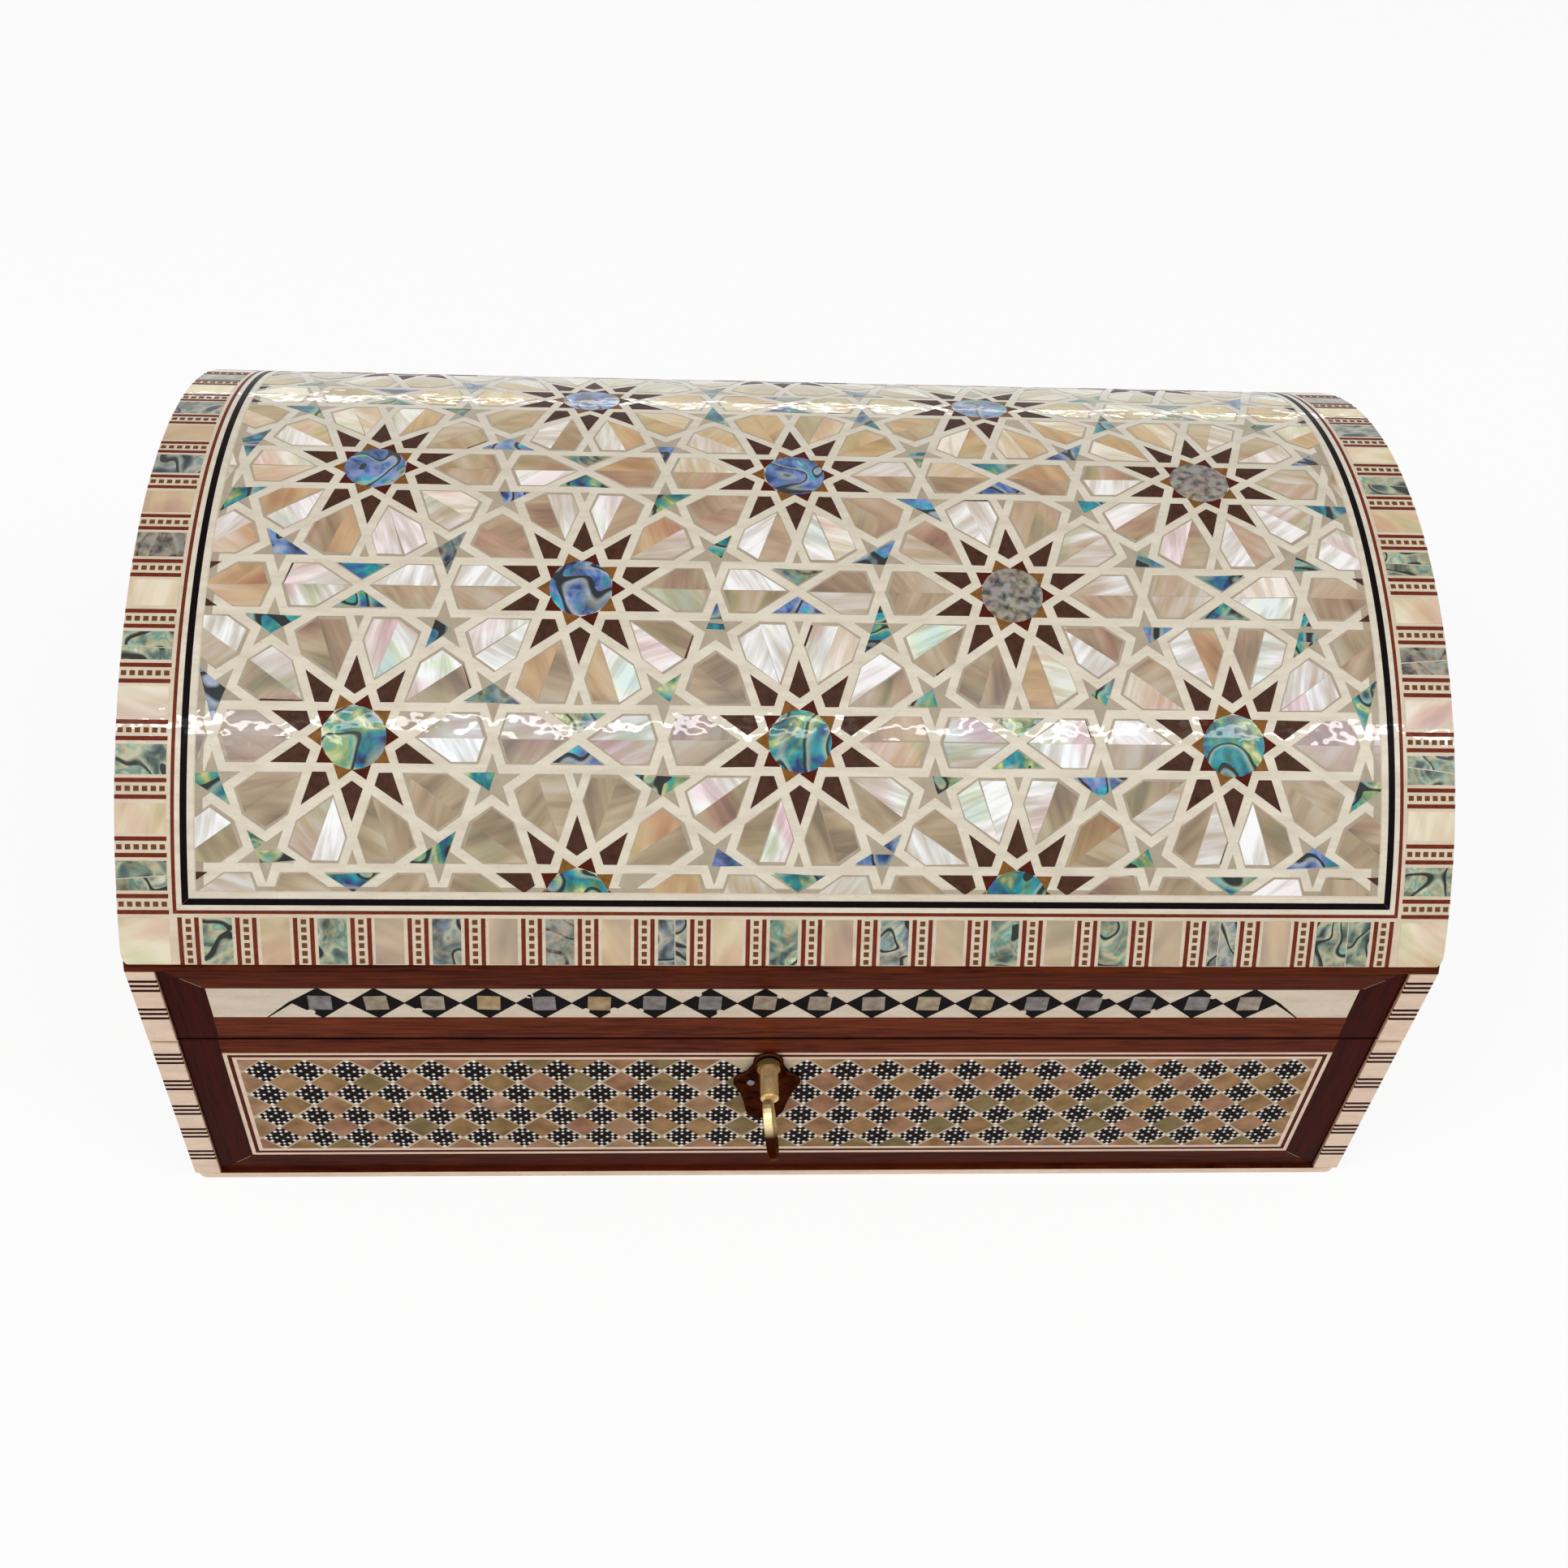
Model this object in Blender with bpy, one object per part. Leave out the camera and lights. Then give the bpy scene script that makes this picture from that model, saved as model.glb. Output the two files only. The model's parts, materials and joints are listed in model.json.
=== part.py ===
"""Inlaid jewellery box with a barrel-vault lid, a box lock with its key, and two butt hinges.

Metres, +Z up. The front faces -Y, the width runs along X, and the box stands on z = 0 with the
middle of its footprint at the origin. The lid is shut, the key is in the lock and the bolt is drawn.
"""

import math

import bmesh
import bpy
from mathutils import Vector

# Overall sizes
BOX_WIDTH = 0.300
BOX_DEPTH = 0.202
BOX_HEIGHT = 0.152
SEAM_HEIGHT = 0.0615
EAVE_HEIGHT = 0.0893
EAVE_REVEAL = 0.0027

# Boards
END_THICKNESS = 0.0062
FRONT_THICKNESS = 0.011
BACK_THICKNESS = 0.010
BOTTOM_THICKNESS = 0.0020
DOME_THICKNESS = 0.0045
WALL_RECESS = 0.0012

# Bone trim
STRIP_THICKNESS = 0.0012
STRIP_ROUNDING = 0.0003
EDGING_THICKNESS = 0.0012
EDGING_CORNER = 0.0028

# Inlay plates
INLAY_THICKNESS = 0.0010
PANEL_SIDE_MARGIN = 0.0155
PANEL_TOP_MARGIN = 0.0061
PANEL_BOTTOM_MARGIN = 0.0091
BAND_SIDE_MARGIN = 0.0160
BAND_BOTTOM_MARGIN = 0.0084
BAND_TOP_MARGIN = 0.0078
DOME_BORDER_WIDTH = 0.0170
LID_END_BOTTOM_MARGIN = 0.0084
LID_END_ARCH_MARGIN = 0.0080

# Linings
LINING_THICKNESS = 0.0015
LINING_ROUNDING = 0.0005
LINING_TOP_MARGIN = 0.0040
LID_LINING_THICKNESS = 0.0012

# Lock, measured from the key's axis unless it says otherwise
KEY_OFFSET = -0.0045
KEY_DROP = 0.0090
PLATE_THICKNESS = 0.0010
FRONT_WOOD = 0.0019
FACE_PLATE_OVERLAP = 0.0040
BOLT_THICKNESS = 0.0018
BOLT_TRAVEL = 0.0042
BOLT_LEFT = 0.0090
BOLT_ARM_WIDTH = 0.0030
BOLT_ARM_CLEARANCE = 0.0010
BOLT_BAR_HEIGHT = 0.0050
BOLT_NOSE_HEIGHT = 0.0030
BOLT_NOSE_RISE = 0.0035
TALON_HALF_WIDTH = 0.0024
STAPLE_THICKNESS = 0.0020
STAPLE_LEG = 0.0008
STAPLE_FOOT = 0.0016
STAPLE_SLOT_CLEARANCE = 0.0005
DRILL_PIN_RADIUS = 0.0008
DRILL_PIN_LENGTH = 0.0054

# Key
BARREL_RADIUS = 0.0022
BORE_DEPTH = 0.0062
COLLAR_RADIUS = 0.0028
COLLAR_LENGTH = 0.0016
BARREL_REACH = 0.0112
NECK_LENGTH = 0.0026
NECK_HEIGHT = 0.0034
NECK_THICKNESS = 0.0018
BOW_LENGTH = 0.0120
BOW_HEIGHT = 0.0190
BOW_RIM = 0.0028
BOW_THICKNESS = 0.0022
BOW_LEAN = math.radians(8)
BIT_RADIUS = 0.0060
BIT_WIDTH = 0.0016
BIT_LENGTH = 0.0034
KEYHOLE_PLAY = 0.0003

# Escutcheon
ESCUTCHEON_THICKNESS = 0.0010
ESCUTCHEON_ROUNDING = 0.00045
ESCUTCHEON_LOBE = 0.0037
ESCUTCHEON_EAR = 0.0082
ESCUTCHEON_EAR_DROP = 0.0081
ESCUTCHEON_EAR_ROUND = 0.0025
ESCUTCHEON_WAIST = 0.0050
ESCUTCHEON_WAIST_DROP = 0.0200
ESCUTCHEON_LENGTH = 0.0250
PIN_HEAD_RADIUS = 0.0010
PIN_HEAD_HEIGHT = 0.0006
PIN_SHANK_RADIUS = 0.0005
PIN_GRIP = 0.0012
UPPER_PIN = (-0.0040, -0.0078)
LOWER_PIN = (0.0018, -0.0216)

# Hinges
HINGE_END_MARGIN = 0.055
HINGE_LENGTH = 0.030
HINGE_LEAF_DEPTH = 0.0078
HINGE_LEAF_THICKNESS = 0.0012
KNUCKLE_RADIUS = 0.0020
LID_KNUCKLE_LENGTH = 0.0100
HINGE_PIN_RADIUS = 0.0008
HINGE_PIN_STAND_OUT = 0.0005
SCREW_SPACING = 0.0180
SCREW_EDGE = 0.0038
SCREW_HEAD_RADIUS = 0.0016
SCREW_SHANK_RADIUS = 0.0008
SCREW_HEAD_DEPTH = 0.0008
SCREW_LENGTH = 0.0075

# Clearances
FIT = 0.0003
SEAM_GAP = 0.0004
OVERSHOOT = 0.0010
ARC_STEPS = 48
ROUND_STEPS = 24

# Planes and levels that follow from the sizes above
HALF_WIDTH = BOX_WIDTH / 2
HALF_DEPTH = BOX_DEPTH / 2
BASE_TOP = SEAM_HEIGHT - SEAM_GAP / 2
LID_BOTTOM = SEAM_HEIGHT + SEAM_GAP / 2
BASE_BOTTOM = BOTTOM_THICKNESS + FIT
FRONT_FACE = -HALF_DEPTH + WALL_RECESS
FRONT_INSIDE = FRONT_FACE + FRONT_THICKNESS
BACK_FACE = HALF_DEPTH - WALL_RECESS
BACK_INSIDE = BACK_FACE - BACK_THICKNESS
END_INSIDE = HALF_WIDTH - END_THICKNESS
WALL_HALF_LENGTH = END_INSIDE - FIT
INLAY_POCKET = INLAY_THICKNESS + FIT
END_HALF_DEPTH = HALF_DEPTH - STRIP_THICKNESS - FIT

# The dome's outer arc runs from the inlay's front edge over the crown to its back edge
DOME_RISE = BOX_HEIGHT - EAVE_HEIGHT - EAVE_REVEAL
DOME_RADIUS = (HALF_DEPTH ** 2 + DOME_RISE ** 2) / (2 * DOME_RISE)
DOME_AXIS_Z = BOX_HEIGHT - DOME_RADIUS
BOARD_RADIUS = DOME_RADIUS - INLAY_POCKET
BOARD_INSIDE = BOARD_RADIUS - DOME_THICKNESS
INLAY_EDGE_ANGLE = math.asin((EAVE_HEIGHT + EAVE_REVEAL - DOME_AXIS_Z) / DOME_RADIUS)

# Hinge axis and key axis
HINGE_Y = BACK_FACE + FIT + KNUCKLE_RADIUS
HINGE_AXIS = Vector((0.0, HINGE_Y, SEAM_HEIGHT))
LEAF_EDGE = HINGE_Y - KNUCKLE_RADIUS - FIT
LEAF_INNER_EDGE = BACK_FACE - HINGE_LEAF_DEPTH
KEY_Z = SEAM_HEIGHT - KEY_DROP

# Lock depths, from the front of the wall inwards
MORTISE_FRONT = FRONT_FACE + INLAY_POCKET + FRONT_WOOD
CASE_FRONT = MORTISE_FRONT + FIT
CASE_INNER_FRONT = CASE_FRONT + PLATE_THICKNESS
STAPLE_EYE = BOLT_THICKNESS + 2 * FIT
STAPLE_WIDTH = STAPLE_EYE + 2 * STAPLE_LEG
CASE_INNER_DEPTH = STAPLE_WIDTH + 2 * STAPLE_SLOT_CLEARANCE
CASE_BACK = CASE_INNER_FRONT + CASE_INNER_DEPTH
LOCK_MIDDLE = CASE_INNER_FRONT + CASE_INNER_DEPTH / 2
CAP_FRONT = CASE_BACK + FIT
CAP_BACK = CAP_FRONT + PLATE_THICKNESS
ESCUTCHEON_BACK = FRONT_FACE - FIT
ESCUTCHEON_FRONT = ESCUTCHEON_BACK - ESCUTCHEON_THICKNESS
KEY_TIP = CAP_FRONT - FIT
KEY_AXIS = Vector((KEY_OFFSET, FRONT_FACE, KEY_Z))

# Lock sizes across the bolt, from the key's axis. The nose is as long as the throw, so the arm
# behind it stops short of the staple
BOLT_ARM = BIT_RADIUS + BOLT_ARM_CLEARANCE
BOLT_RIGHT = BOLT_ARM + BOLT_ARM_WIDTH
BOLT_NOSE = BOLT_RIGHT + BOLT_TRAVEL
TALON_FLOOR = BIT_RADIUS + 2 * FIT
BOLT_BAR_TOP = TALON_FLOOR - BOLT_BAR_HEIGHT / 2
BOLT_FOOT = BOLT_BAR_TOP + BOLT_BAR_HEIGHT
BOLT_NOSE_TOP = BOLT_NOSE_RISE + BOLT_NOSE_HEIGHT
STAPLE_LEFT = BOLT_NOSE + 2 * FIT
STAPLE_RIGHT = STAPLE_LEFT + STAPLE_THICKNESS
CASE_INNER_LEFT = BOLT_LEFT + 2 * FIT
CASE_INNER_RIGHT = BOLT_NOSE + BOLT_TRAVEL + 2 * FIT
CASE_INNER_FOOT = BOLT_FOOT + FIT
FACE_PLATE_BOTTOM = BASE_TOP - PLATE_THICKNESS
CASE_TOP = FACE_PLATE_BOTTOM - FIT


def clear_scene():
    """Empty the scene without closing the file that the script runs from."""
    for obj in list(bpy.data.objects):
        bpy.data.objects.remove(obj, do_unlink=True)


def make_material(name, colour, roughness, metallic=0.0):
    """Principled material with one linear colour."""
    material = bpy.data.materials.new(name)
    material.use_nodes = True
    shader = material.node_tree.nodes["Principled BSDF"]
    shader.inputs["Base Color"].default_value = (*colour, 1.0)
    shader.inputs["Roughness"].default_value = roughness
    shader.inputs["Metallic"].default_value = metallic
    material.diffuse_color = (*colour, 1.0)
    return material


def make_empty(name, location):
    """Empty that carries a body, with its origin on that body's joint axis."""
    empty = bpy.data.objects.new(name, None)
    empty.location = location
    empty.empty_display_size = 0.02
    bpy.context.scene.collection.objects.link(empty)
    return empty


def add_object(name, shape, finish, body, location):
    """Turn a bmesh into a named object that stands at a world location under its body's empty."""
    bmesh.ops.recalc_face_normals(shape, faces=shape.faces)
    mesh = bpy.data.meshes.new(name)
    shape.to_mesh(mesh)
    shape.free()
    mesh.materials.append(finish)
    obj = bpy.data.objects.new(name, mesh)
    obj.parent = body
    obj.location = Vector(location) - body.location
    bpy.context.scene.collection.objects.link(obj)
    return obj


def as_tool(obj):
    """Hide an object that only shapes others through their Boolean modifiers."""
    obj.hide_render = True
    obj.display_type = "WIRE"
    return obj


def combine(obj, operation, *tools):
    """Add one Boolean modifier to an object for each tool."""
    for tool in tools:
        modifier = obj.modifiers.new(tool.name, "BOOLEAN")
        modifier.operation = operation
        modifier.solver = "EXACT"
        modifier.object = tool


def round_edges(obj, radius, segments=2):
    """Round an object's sharp edges with a Bevel modifier."""
    modifier = obj.modifiers.new("rounding", "BEVEL")
    modifier.width = radius
    modifier.segments = segments
    modifier.limit_method = "ANGLE"
    modifier.angle_limit = math.radians(40)


def block(name, low, high, finish, body):
    """Box between two world corners, with its origin in its middle."""
    low = Vector(low)
    high = Vector(high)
    shape = bmesh.new()
    bmesh.ops.create_cube(shape, size=1.0)
    bmesh.ops.scale(shape, vec=high - low, verts=shape.verts)
    return add_object(name, shape, finish, body, (low + high) / 2)


def prism(name, outline, axis, low, high, origin, finish, body):
    """Extrude an outline along X, Y or Z. Its points and both ends are measured from the origin."""
    place = {
        "X": lambda u, v, depth: (depth, u, v),
        "Y": lambda u, v, depth: (u, depth, v),
        "Z": lambda u, v, depth: (u, v, depth),
    }[axis]
    shape = bmesh.new()
    start = [shape.verts.new(place(u, v, low)) for u, v in outline]
    end = [shape.verts.new(place(u, v, high)) for u, v in outline]
    shape.faces.new(start)
    shape.faces.new(end)
    for index in range(len(outline)):
        following = (index + 1) % len(outline)
        shape.faces.new((start[index], start[following], end[following], end[index]))
    return add_object(name, shape, finish, body, origin)


def turned(name, profile, axis, origin, finish, body, steps=ROUND_STEPS):
    """Revolve an open profile of (radius, distance) points that starts and ends on the axis."""
    direction = {"X": Vector((1, 0, 0)), "Y": Vector((0, 1, 0)), "Z": Vector((0, 0, 1))}[axis]
    side = {"X": Vector((0, 1, 0)), "Y": Vector((0, 0, 1)), "Z": Vector((1, 0, 0))}[axis]
    shape = bmesh.new()
    points = [shape.verts.new(side * radius + direction * along) for radius, along in profile]
    edges = [shape.edges.new(pair) for pair in zip(points, points[1:])]
    bmesh.ops.spin(
        shape, geom=points + edges, cent=(0, 0, 0), axis=direction,
        angle=math.tau, steps=steps, use_merge=True, use_duplicate=False)
    bmesh.ops.remove_doubles(shape, verts=shape.verts, dist=1e-6)
    return add_object(name, shape, finish, body, origin)


def rod(name, radius, axis, low, high, origin, finish, body, steps=ROUND_STEPS):
    """Plain cylinder along an axis between two distances from its origin."""
    profile = ((0.0, low), (radius, low), (radius, high), (0.0, high))
    return turned(name, profile, axis, origin, finish, body, steps)


def arc_points(radius, start, end, count, centre=(0.0, 0.0)):
    """Points on an arc from one angle to another, in radians, both ends included."""
    span = [start + (end - start) * index / (count - 1) for index in range(count)]
    return [(centre[0] + radius * math.cos(a), centre[1] + radius * math.sin(a)) for a in span]


def bend_points(start, control, end, count):
    """Points on a quadratic curve without its first point, so that curves can follow each other."""
    points = []
    for index in range(1, count + 1):
        t = index / count
        weights = ((1 - t) ** 2, 2 * t * (1 - t), t * t)
        points.append(tuple(
            weights[0] * a + weights[1] * b + weights[2] * c
            for a, b, c in zip(start, control, end)))
    return points


def rounded_rectangle(half_x, half_y, corner, count=7):
    """Outline of a rectangle with round corners, or with sharp ones where the corner is 0."""
    if corner <= 0:
        return [(half_x, half_y), (-half_x, half_y), (-half_x, -half_y), (half_x, -half_y)]
    outline = []
    for quarter, (sign_x, sign_y) in enumerate(((1, 1), (-1, 1), (-1, -1), (1, -1))):
        centre = (sign_x * (half_x - corner), sign_y * (half_y - corner))
        start = quarter * math.pi / 2
        outline += arc_points(corner, start, start + math.pi / 2, count, centre)
    return outline


def curved_plate(name, xs, shares, outer, inner, finish, body, hole=None):
    """Plate on the dome's arc. outer and inner are (radius, edge angle) of its two faces.

    xs are the lines across the arc, shares the steps along it from front to back, and hole the
    one-based range of cells (x, share) that stays open.
    """
    def ring(radius, edge_angle):
        angles = [math.pi - edge_angle + (2 * edge_angle - math.pi) * share for share in shares]
        return [
            [shape.verts.new((x, radius * math.cos(a), radius * math.sin(a))) for a in angles]
            for x in xs]

    def solid(i, j):
        inside_grid = 0 <= i < len(xs) - 1 and 0 <= j < len(shares) - 1
        open_cell = hole is not None and i in hole[0] and j in hole[1]
        return inside_grid and not open_cell

    shape = bmesh.new()
    top = ring(*outer)
    under = ring(*inner)
    for i in range(len(xs) - 1):
        for j in range(len(shares) - 1):
            if not solid(i, j):
                continue
            corners = ((i, j), (i + 1, j), (i + 1, j + 1), (i, j + 1))
            shape.faces.new([top[a][b] for a, b in corners])
            shape.faces.new([under[a][b] for a, b in reversed(corners)])
            neighbours = ((i, j - 1), (i + 1, j), (i, j + 1), (i - 1, j))
            for side, neighbour in enumerate(neighbours):
                if solid(*neighbour):
                    continue
                a, b = corners[side], corners[(side + 1) % 4]
                shape.faces.new((top[b[0]][b[1]], top[a[0]][a[1]], under[a[0]][a[1]], under[b[0]][b[1]]))
    loose = [vert for vert in shape.verts if not vert.link_faces]
    bmesh.ops.delete(shape, geom=loose, context="VERTS")
    return add_object(name, shape, finish, body, (0.0, 0.0, DOME_AXIS_Z))


def even_shares(steps):
    """Shares of an arc from 0 to 1 in equal steps."""
    return [step / steps for step in range(steps + 1)]


def level_angle(radius, height):
    """Angle at which an arc about the dome's axis comes down to a height."""
    return math.asin((height - DOME_AXIS_Z) / radius)


def build_bottom(base, finish):
    """Bottom board with the bone edging that runs round its edge."""
    inner_x = HALF_WIDTH - EDGING_THICKNESS
    inner_y = HALF_DEPTH - EDGING_THICKNESS
    corner = EDGING_CORNER - EDGING_THICKNESS
    board = rounded_rectangle(inner_x - FIT, inner_y - FIT, corner - FIT)
    prism("bottom_board", board, "Z", 0.0, BOTTOM_THICKNESS, (0, 0, 0), finish["poplar"], base)
    outside = rounded_rectangle(HALF_WIDTH, HALF_DEPTH, EDGING_CORNER)
    edging = prism("bottom_edging", outside, "Z", 0.0, BOTTOM_THICKNESS, (0, 0, 0), finish["bone"], base)
    opening = as_tool(prism(
        "edging_opening_tool", rounded_rectangle(inner_x, inner_y, corner), "Z",
        -OVERSHOOT, BOTTOM_THICKNESS + OVERSHOOT, (0, 0, 0), finish["tool"], base))
    combine(edging, "DIFFERENCE", opening)


def build_base_walls(base, finish):
    """The base's four boards, each with a pocket for its inlay panel, and the panels."""
    wall_x = WALL_HALF_LENGTH
    panel_x = HALF_WIDTH - PANEL_SIDE_MARGIN
    panel_y = HALF_DEPTH - PANEL_SIDE_MARGIN
    low_z = PANEL_BOTTOM_MARGIN
    high_z = SEAM_HEIGHT - PANEL_TOP_MARGIN
    walls = {}
    panels = {}
    for side, face, inside in (
            ("front", FRONT_FACE, FRONT_INSIDE),
            ("back", BACK_FACE, BACK_INSIDE)):
        near, far = sorted((face, inside))
        walls[side] = block(
            f"base_{side}_wall", (-wall_x, near, BASE_BOTTOM), (wall_x, far, BASE_TOP),
            finish["mahogany"], base)
        inward = math.copysign(1.0, inside - face)
        near, far = sorted((face, face + inward * INLAY_THICKNESS))
        panels[side] = block(
            f"base_{side}_inlay", (-panel_x, near, low_z), (panel_x, far, high_z), finish["mosaic"], base)
        near, far = sorted((face - inward * OVERSHOOT, face + inward * INLAY_POCKET))
        pocket = as_tool(block(
            f"base_{side}_pocket_tool", (-panel_x - FIT, near, low_z - FIT),
            (panel_x + FIT, far, high_z + FIT), finish["tool"], base))
        combine(walls[side], "DIFFERENCE", pocket)
    for side, sign in (("left", -1), ("right", 1)):
        near, far = sorted((sign * HALF_WIDTH, sign * END_INSIDE))
        walls[side] = block(
            f"base_{side}_wall", (near, -END_HALF_DEPTH, BASE_BOTTOM), (far, END_HALF_DEPTH, BASE_TOP),
            finish["mahogany"], base)
        near, far = sorted((sign * HALF_WIDTH, sign * (HALF_WIDTH - INLAY_THICKNESS)))
        panels[side] = block(
            f"base_{side}_inlay", (near, -panel_y, low_z), (far, panel_y, high_z), finish["mosaic"], base)
        near, far = sorted((sign * (HALF_WIDTH + OVERSHOOT), sign * (HALF_WIDTH - INLAY_POCKET)))
        pocket = as_tool(block(
            f"base_{side}_pocket_tool", (near, -panel_y - FIT, low_z - FIT),
            (far, panel_y + FIT, high_z + FIT), finish["tool"], base))
        combine(walls[side], "DIFFERENCE", pocket)
    return walls, panels


def build_corner_strips(prefix, low_z, high_z, body, finish):
    """Bone strips on the front and back edges of the two end boards."""
    for depth_name, depth_sign in (("front", -1), ("back", 1)):
        for side, sign in (("left", -1), ("right", 1)):
            x_near, x_far = sorted((sign * HALF_WIDTH, sign * END_INSIDE))
            y_near, y_far = sorted((depth_sign * HALF_DEPTH, depth_sign * (HALF_DEPTH - STRIP_THICKNESS)))
            strip = block(
                f"{prefix}_{depth_name}_{side}_strip", (x_near, y_near, low_z), (x_far, y_far, high_z),
                finish["bone"], body)
            round_edges(strip, STRIP_ROUNDING)


def build_linings(base, finish):
    """Velvet-covered card on the floor and on the four walls of the base."""
    floor_z = BOTTOM_THICKNESS + FIT
    room_x = END_INSIDE - FIT
    front_y = FRONT_INSIDE + FIT
    back_y = BACK_INSIDE - FIT
    pads = [block(
        "floor_lining", (-room_x, front_y, floor_z), (room_x, back_y, floor_z + LINING_THICKNESS),
        finish["velvet"], base)]
    low_z = floor_z + LINING_THICKNESS + FIT
    high_z = BASE_TOP - LINING_TOP_MARGIN
    inner_x = room_x - LINING_THICKNESS - FIT
    for side, near, far in (
            ("front", front_y, front_y + LINING_THICKNESS),
            ("back", back_y - LINING_THICKNESS, back_y)):
        pads.append(block(
            f"{side}_lining", (-inner_x, near, low_z), (inner_x, far, high_z), finish["velvet"], base))
    for side, sign in (("left", -1), ("right", 1)):
        near, far = sorted((sign * room_x, sign * (room_x - LINING_THICKNESS)))
        pads.append(block(
            f"{side}_lining", (near, front_y, low_z), (far, back_y, high_z), finish["velvet"], base))
    for pad in pads:
        round_edges(pad, LINING_ROUNDING)


def keyhole_outline():
    """Round hole for the barrel with a slot below it for the bit."""
    radius = BARREL_RADIUS + KEYHOLE_PLAY
    half_slot = BIT_WIDTH / 2 + KEYHOLE_PLAY
    lean = math.asin(half_slot / radius)
    start = -math.pi / 2 + lean
    outline = arc_points(radius, start, start + math.tau - 2 * lean, ROUND_STEPS)
    foot = -BIT_RADIUS - KEYHOLE_PLAY
    return outline + [(-half_slot, foot), (half_slot, foot)]


def escutcheon_outline():
    """Shield with a round lobe over the keyhole, two ears and a tapered round foot."""
    lobe_end = arc_points(ESCUTCHEON_LOBE, math.pi / 2, -0.15, 10)
    ear_top = (ESCUTCHEON_EAR - 0.0010, -ESCUTCHEON_EAR_DROP + ESCUTCHEON_EAR_ROUND)
    ear_low = (ESCUTCHEON_EAR - 0.0005, -ESCUTCHEON_EAR_DROP - ESCUTCHEON_EAR_ROUND)
    waist = (ESCUTCHEON_WAIST, -ESCUTCHEON_WAIST_DROP)
    foot = (0.0, -ESCUTCHEON_LENGTH)
    right = list(lobe_end)
    right += bend_points(right[-1], (ESCUTCHEON_LOBE + 0.0008, ear_top[1] + 0.0014), ear_top, 6)
    right += bend_points(ear_top, (ESCUTCHEON_EAR + 0.0008, -ESCUTCHEON_EAR_DROP), ear_low, 8)
    middle_x = (ear_low[0] + waist[0]) / 2 - 0.0008
    right += bend_points(ear_low, (middle_x, (ear_low[1] + waist[1]) / 2), waist, 6)
    right += bend_points(waist, (ESCUTCHEON_WAIST - 0.0004, -ESCUTCHEON_LENGTH), foot, 8)
    return right + [(-x, z) for x, z in reversed(right[1:-1])]


def build_escutcheon(base, finish):
    """Bronze keyhole plate and the tool that opens the keyhole through everything behind it."""
    origin = (KEY_AXIS.x, 0.0, KEY_Z)
    keyhole = as_tool(prism(
        "keyhole_tool", keyhole_outline(), "Y", ESCUTCHEON_FRONT - OVERSHOOT,
        CASE_INNER_FRONT + FIT, origin, finish["tool"], base))
    plate = prism(
        "escutcheon", escutcheon_outline(), "Y", ESCUTCHEON_FRONT, ESCUTCHEON_BACK, origin,
        finish["bronze"], base)
    round_edges(plate, ESCUTCHEON_ROUNDING, 3)
    combine(plate, "DIFFERENCE", keyhole)
    return plate, keyhole


def build_escutcheon_pins(base, finish):
    """Two round-headed pins through the keyhole plate, and the tools for their holes."""
    holes = []
    head_seat = ESCUTCHEON_FRONT - FIT
    tip = FRONT_FACE + INLAY_POCKET + PIN_GRIP
    for name, (x, z) in (("upper", UPPER_PIN), ("lower", LOWER_PIN)):
        origin = (KEY_AXIS.x + x, 0.0, KEY_Z + z)
        profile = [(0.0, head_seat - PIN_HEAD_HEIGHT)]
        profile += [
            (PIN_HEAD_RADIUS * math.sin(a), head_seat - PIN_HEAD_HEIGHT * math.cos(a))
            for a in (math.pi / 8, math.pi / 4, 3 * math.pi / 8, math.pi / 2)]
        profile += [(PIN_SHANK_RADIUS, head_seat), (PIN_SHANK_RADIUS, tip), (0.0, tip)]
        turned(f"escutcheon_pin_{name}", profile, "Y", origin, finish["bronze"], base, 12)
        holes.append(as_tool(rod(
            f"pin_hole_{name}_tool", PIN_SHANK_RADIUS + FIT, "Y", ESCUTCHEON_FRONT - OVERSHOOT,
            tip + FIT, origin, finish["tool"], base, 12)))
    return holes


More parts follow.
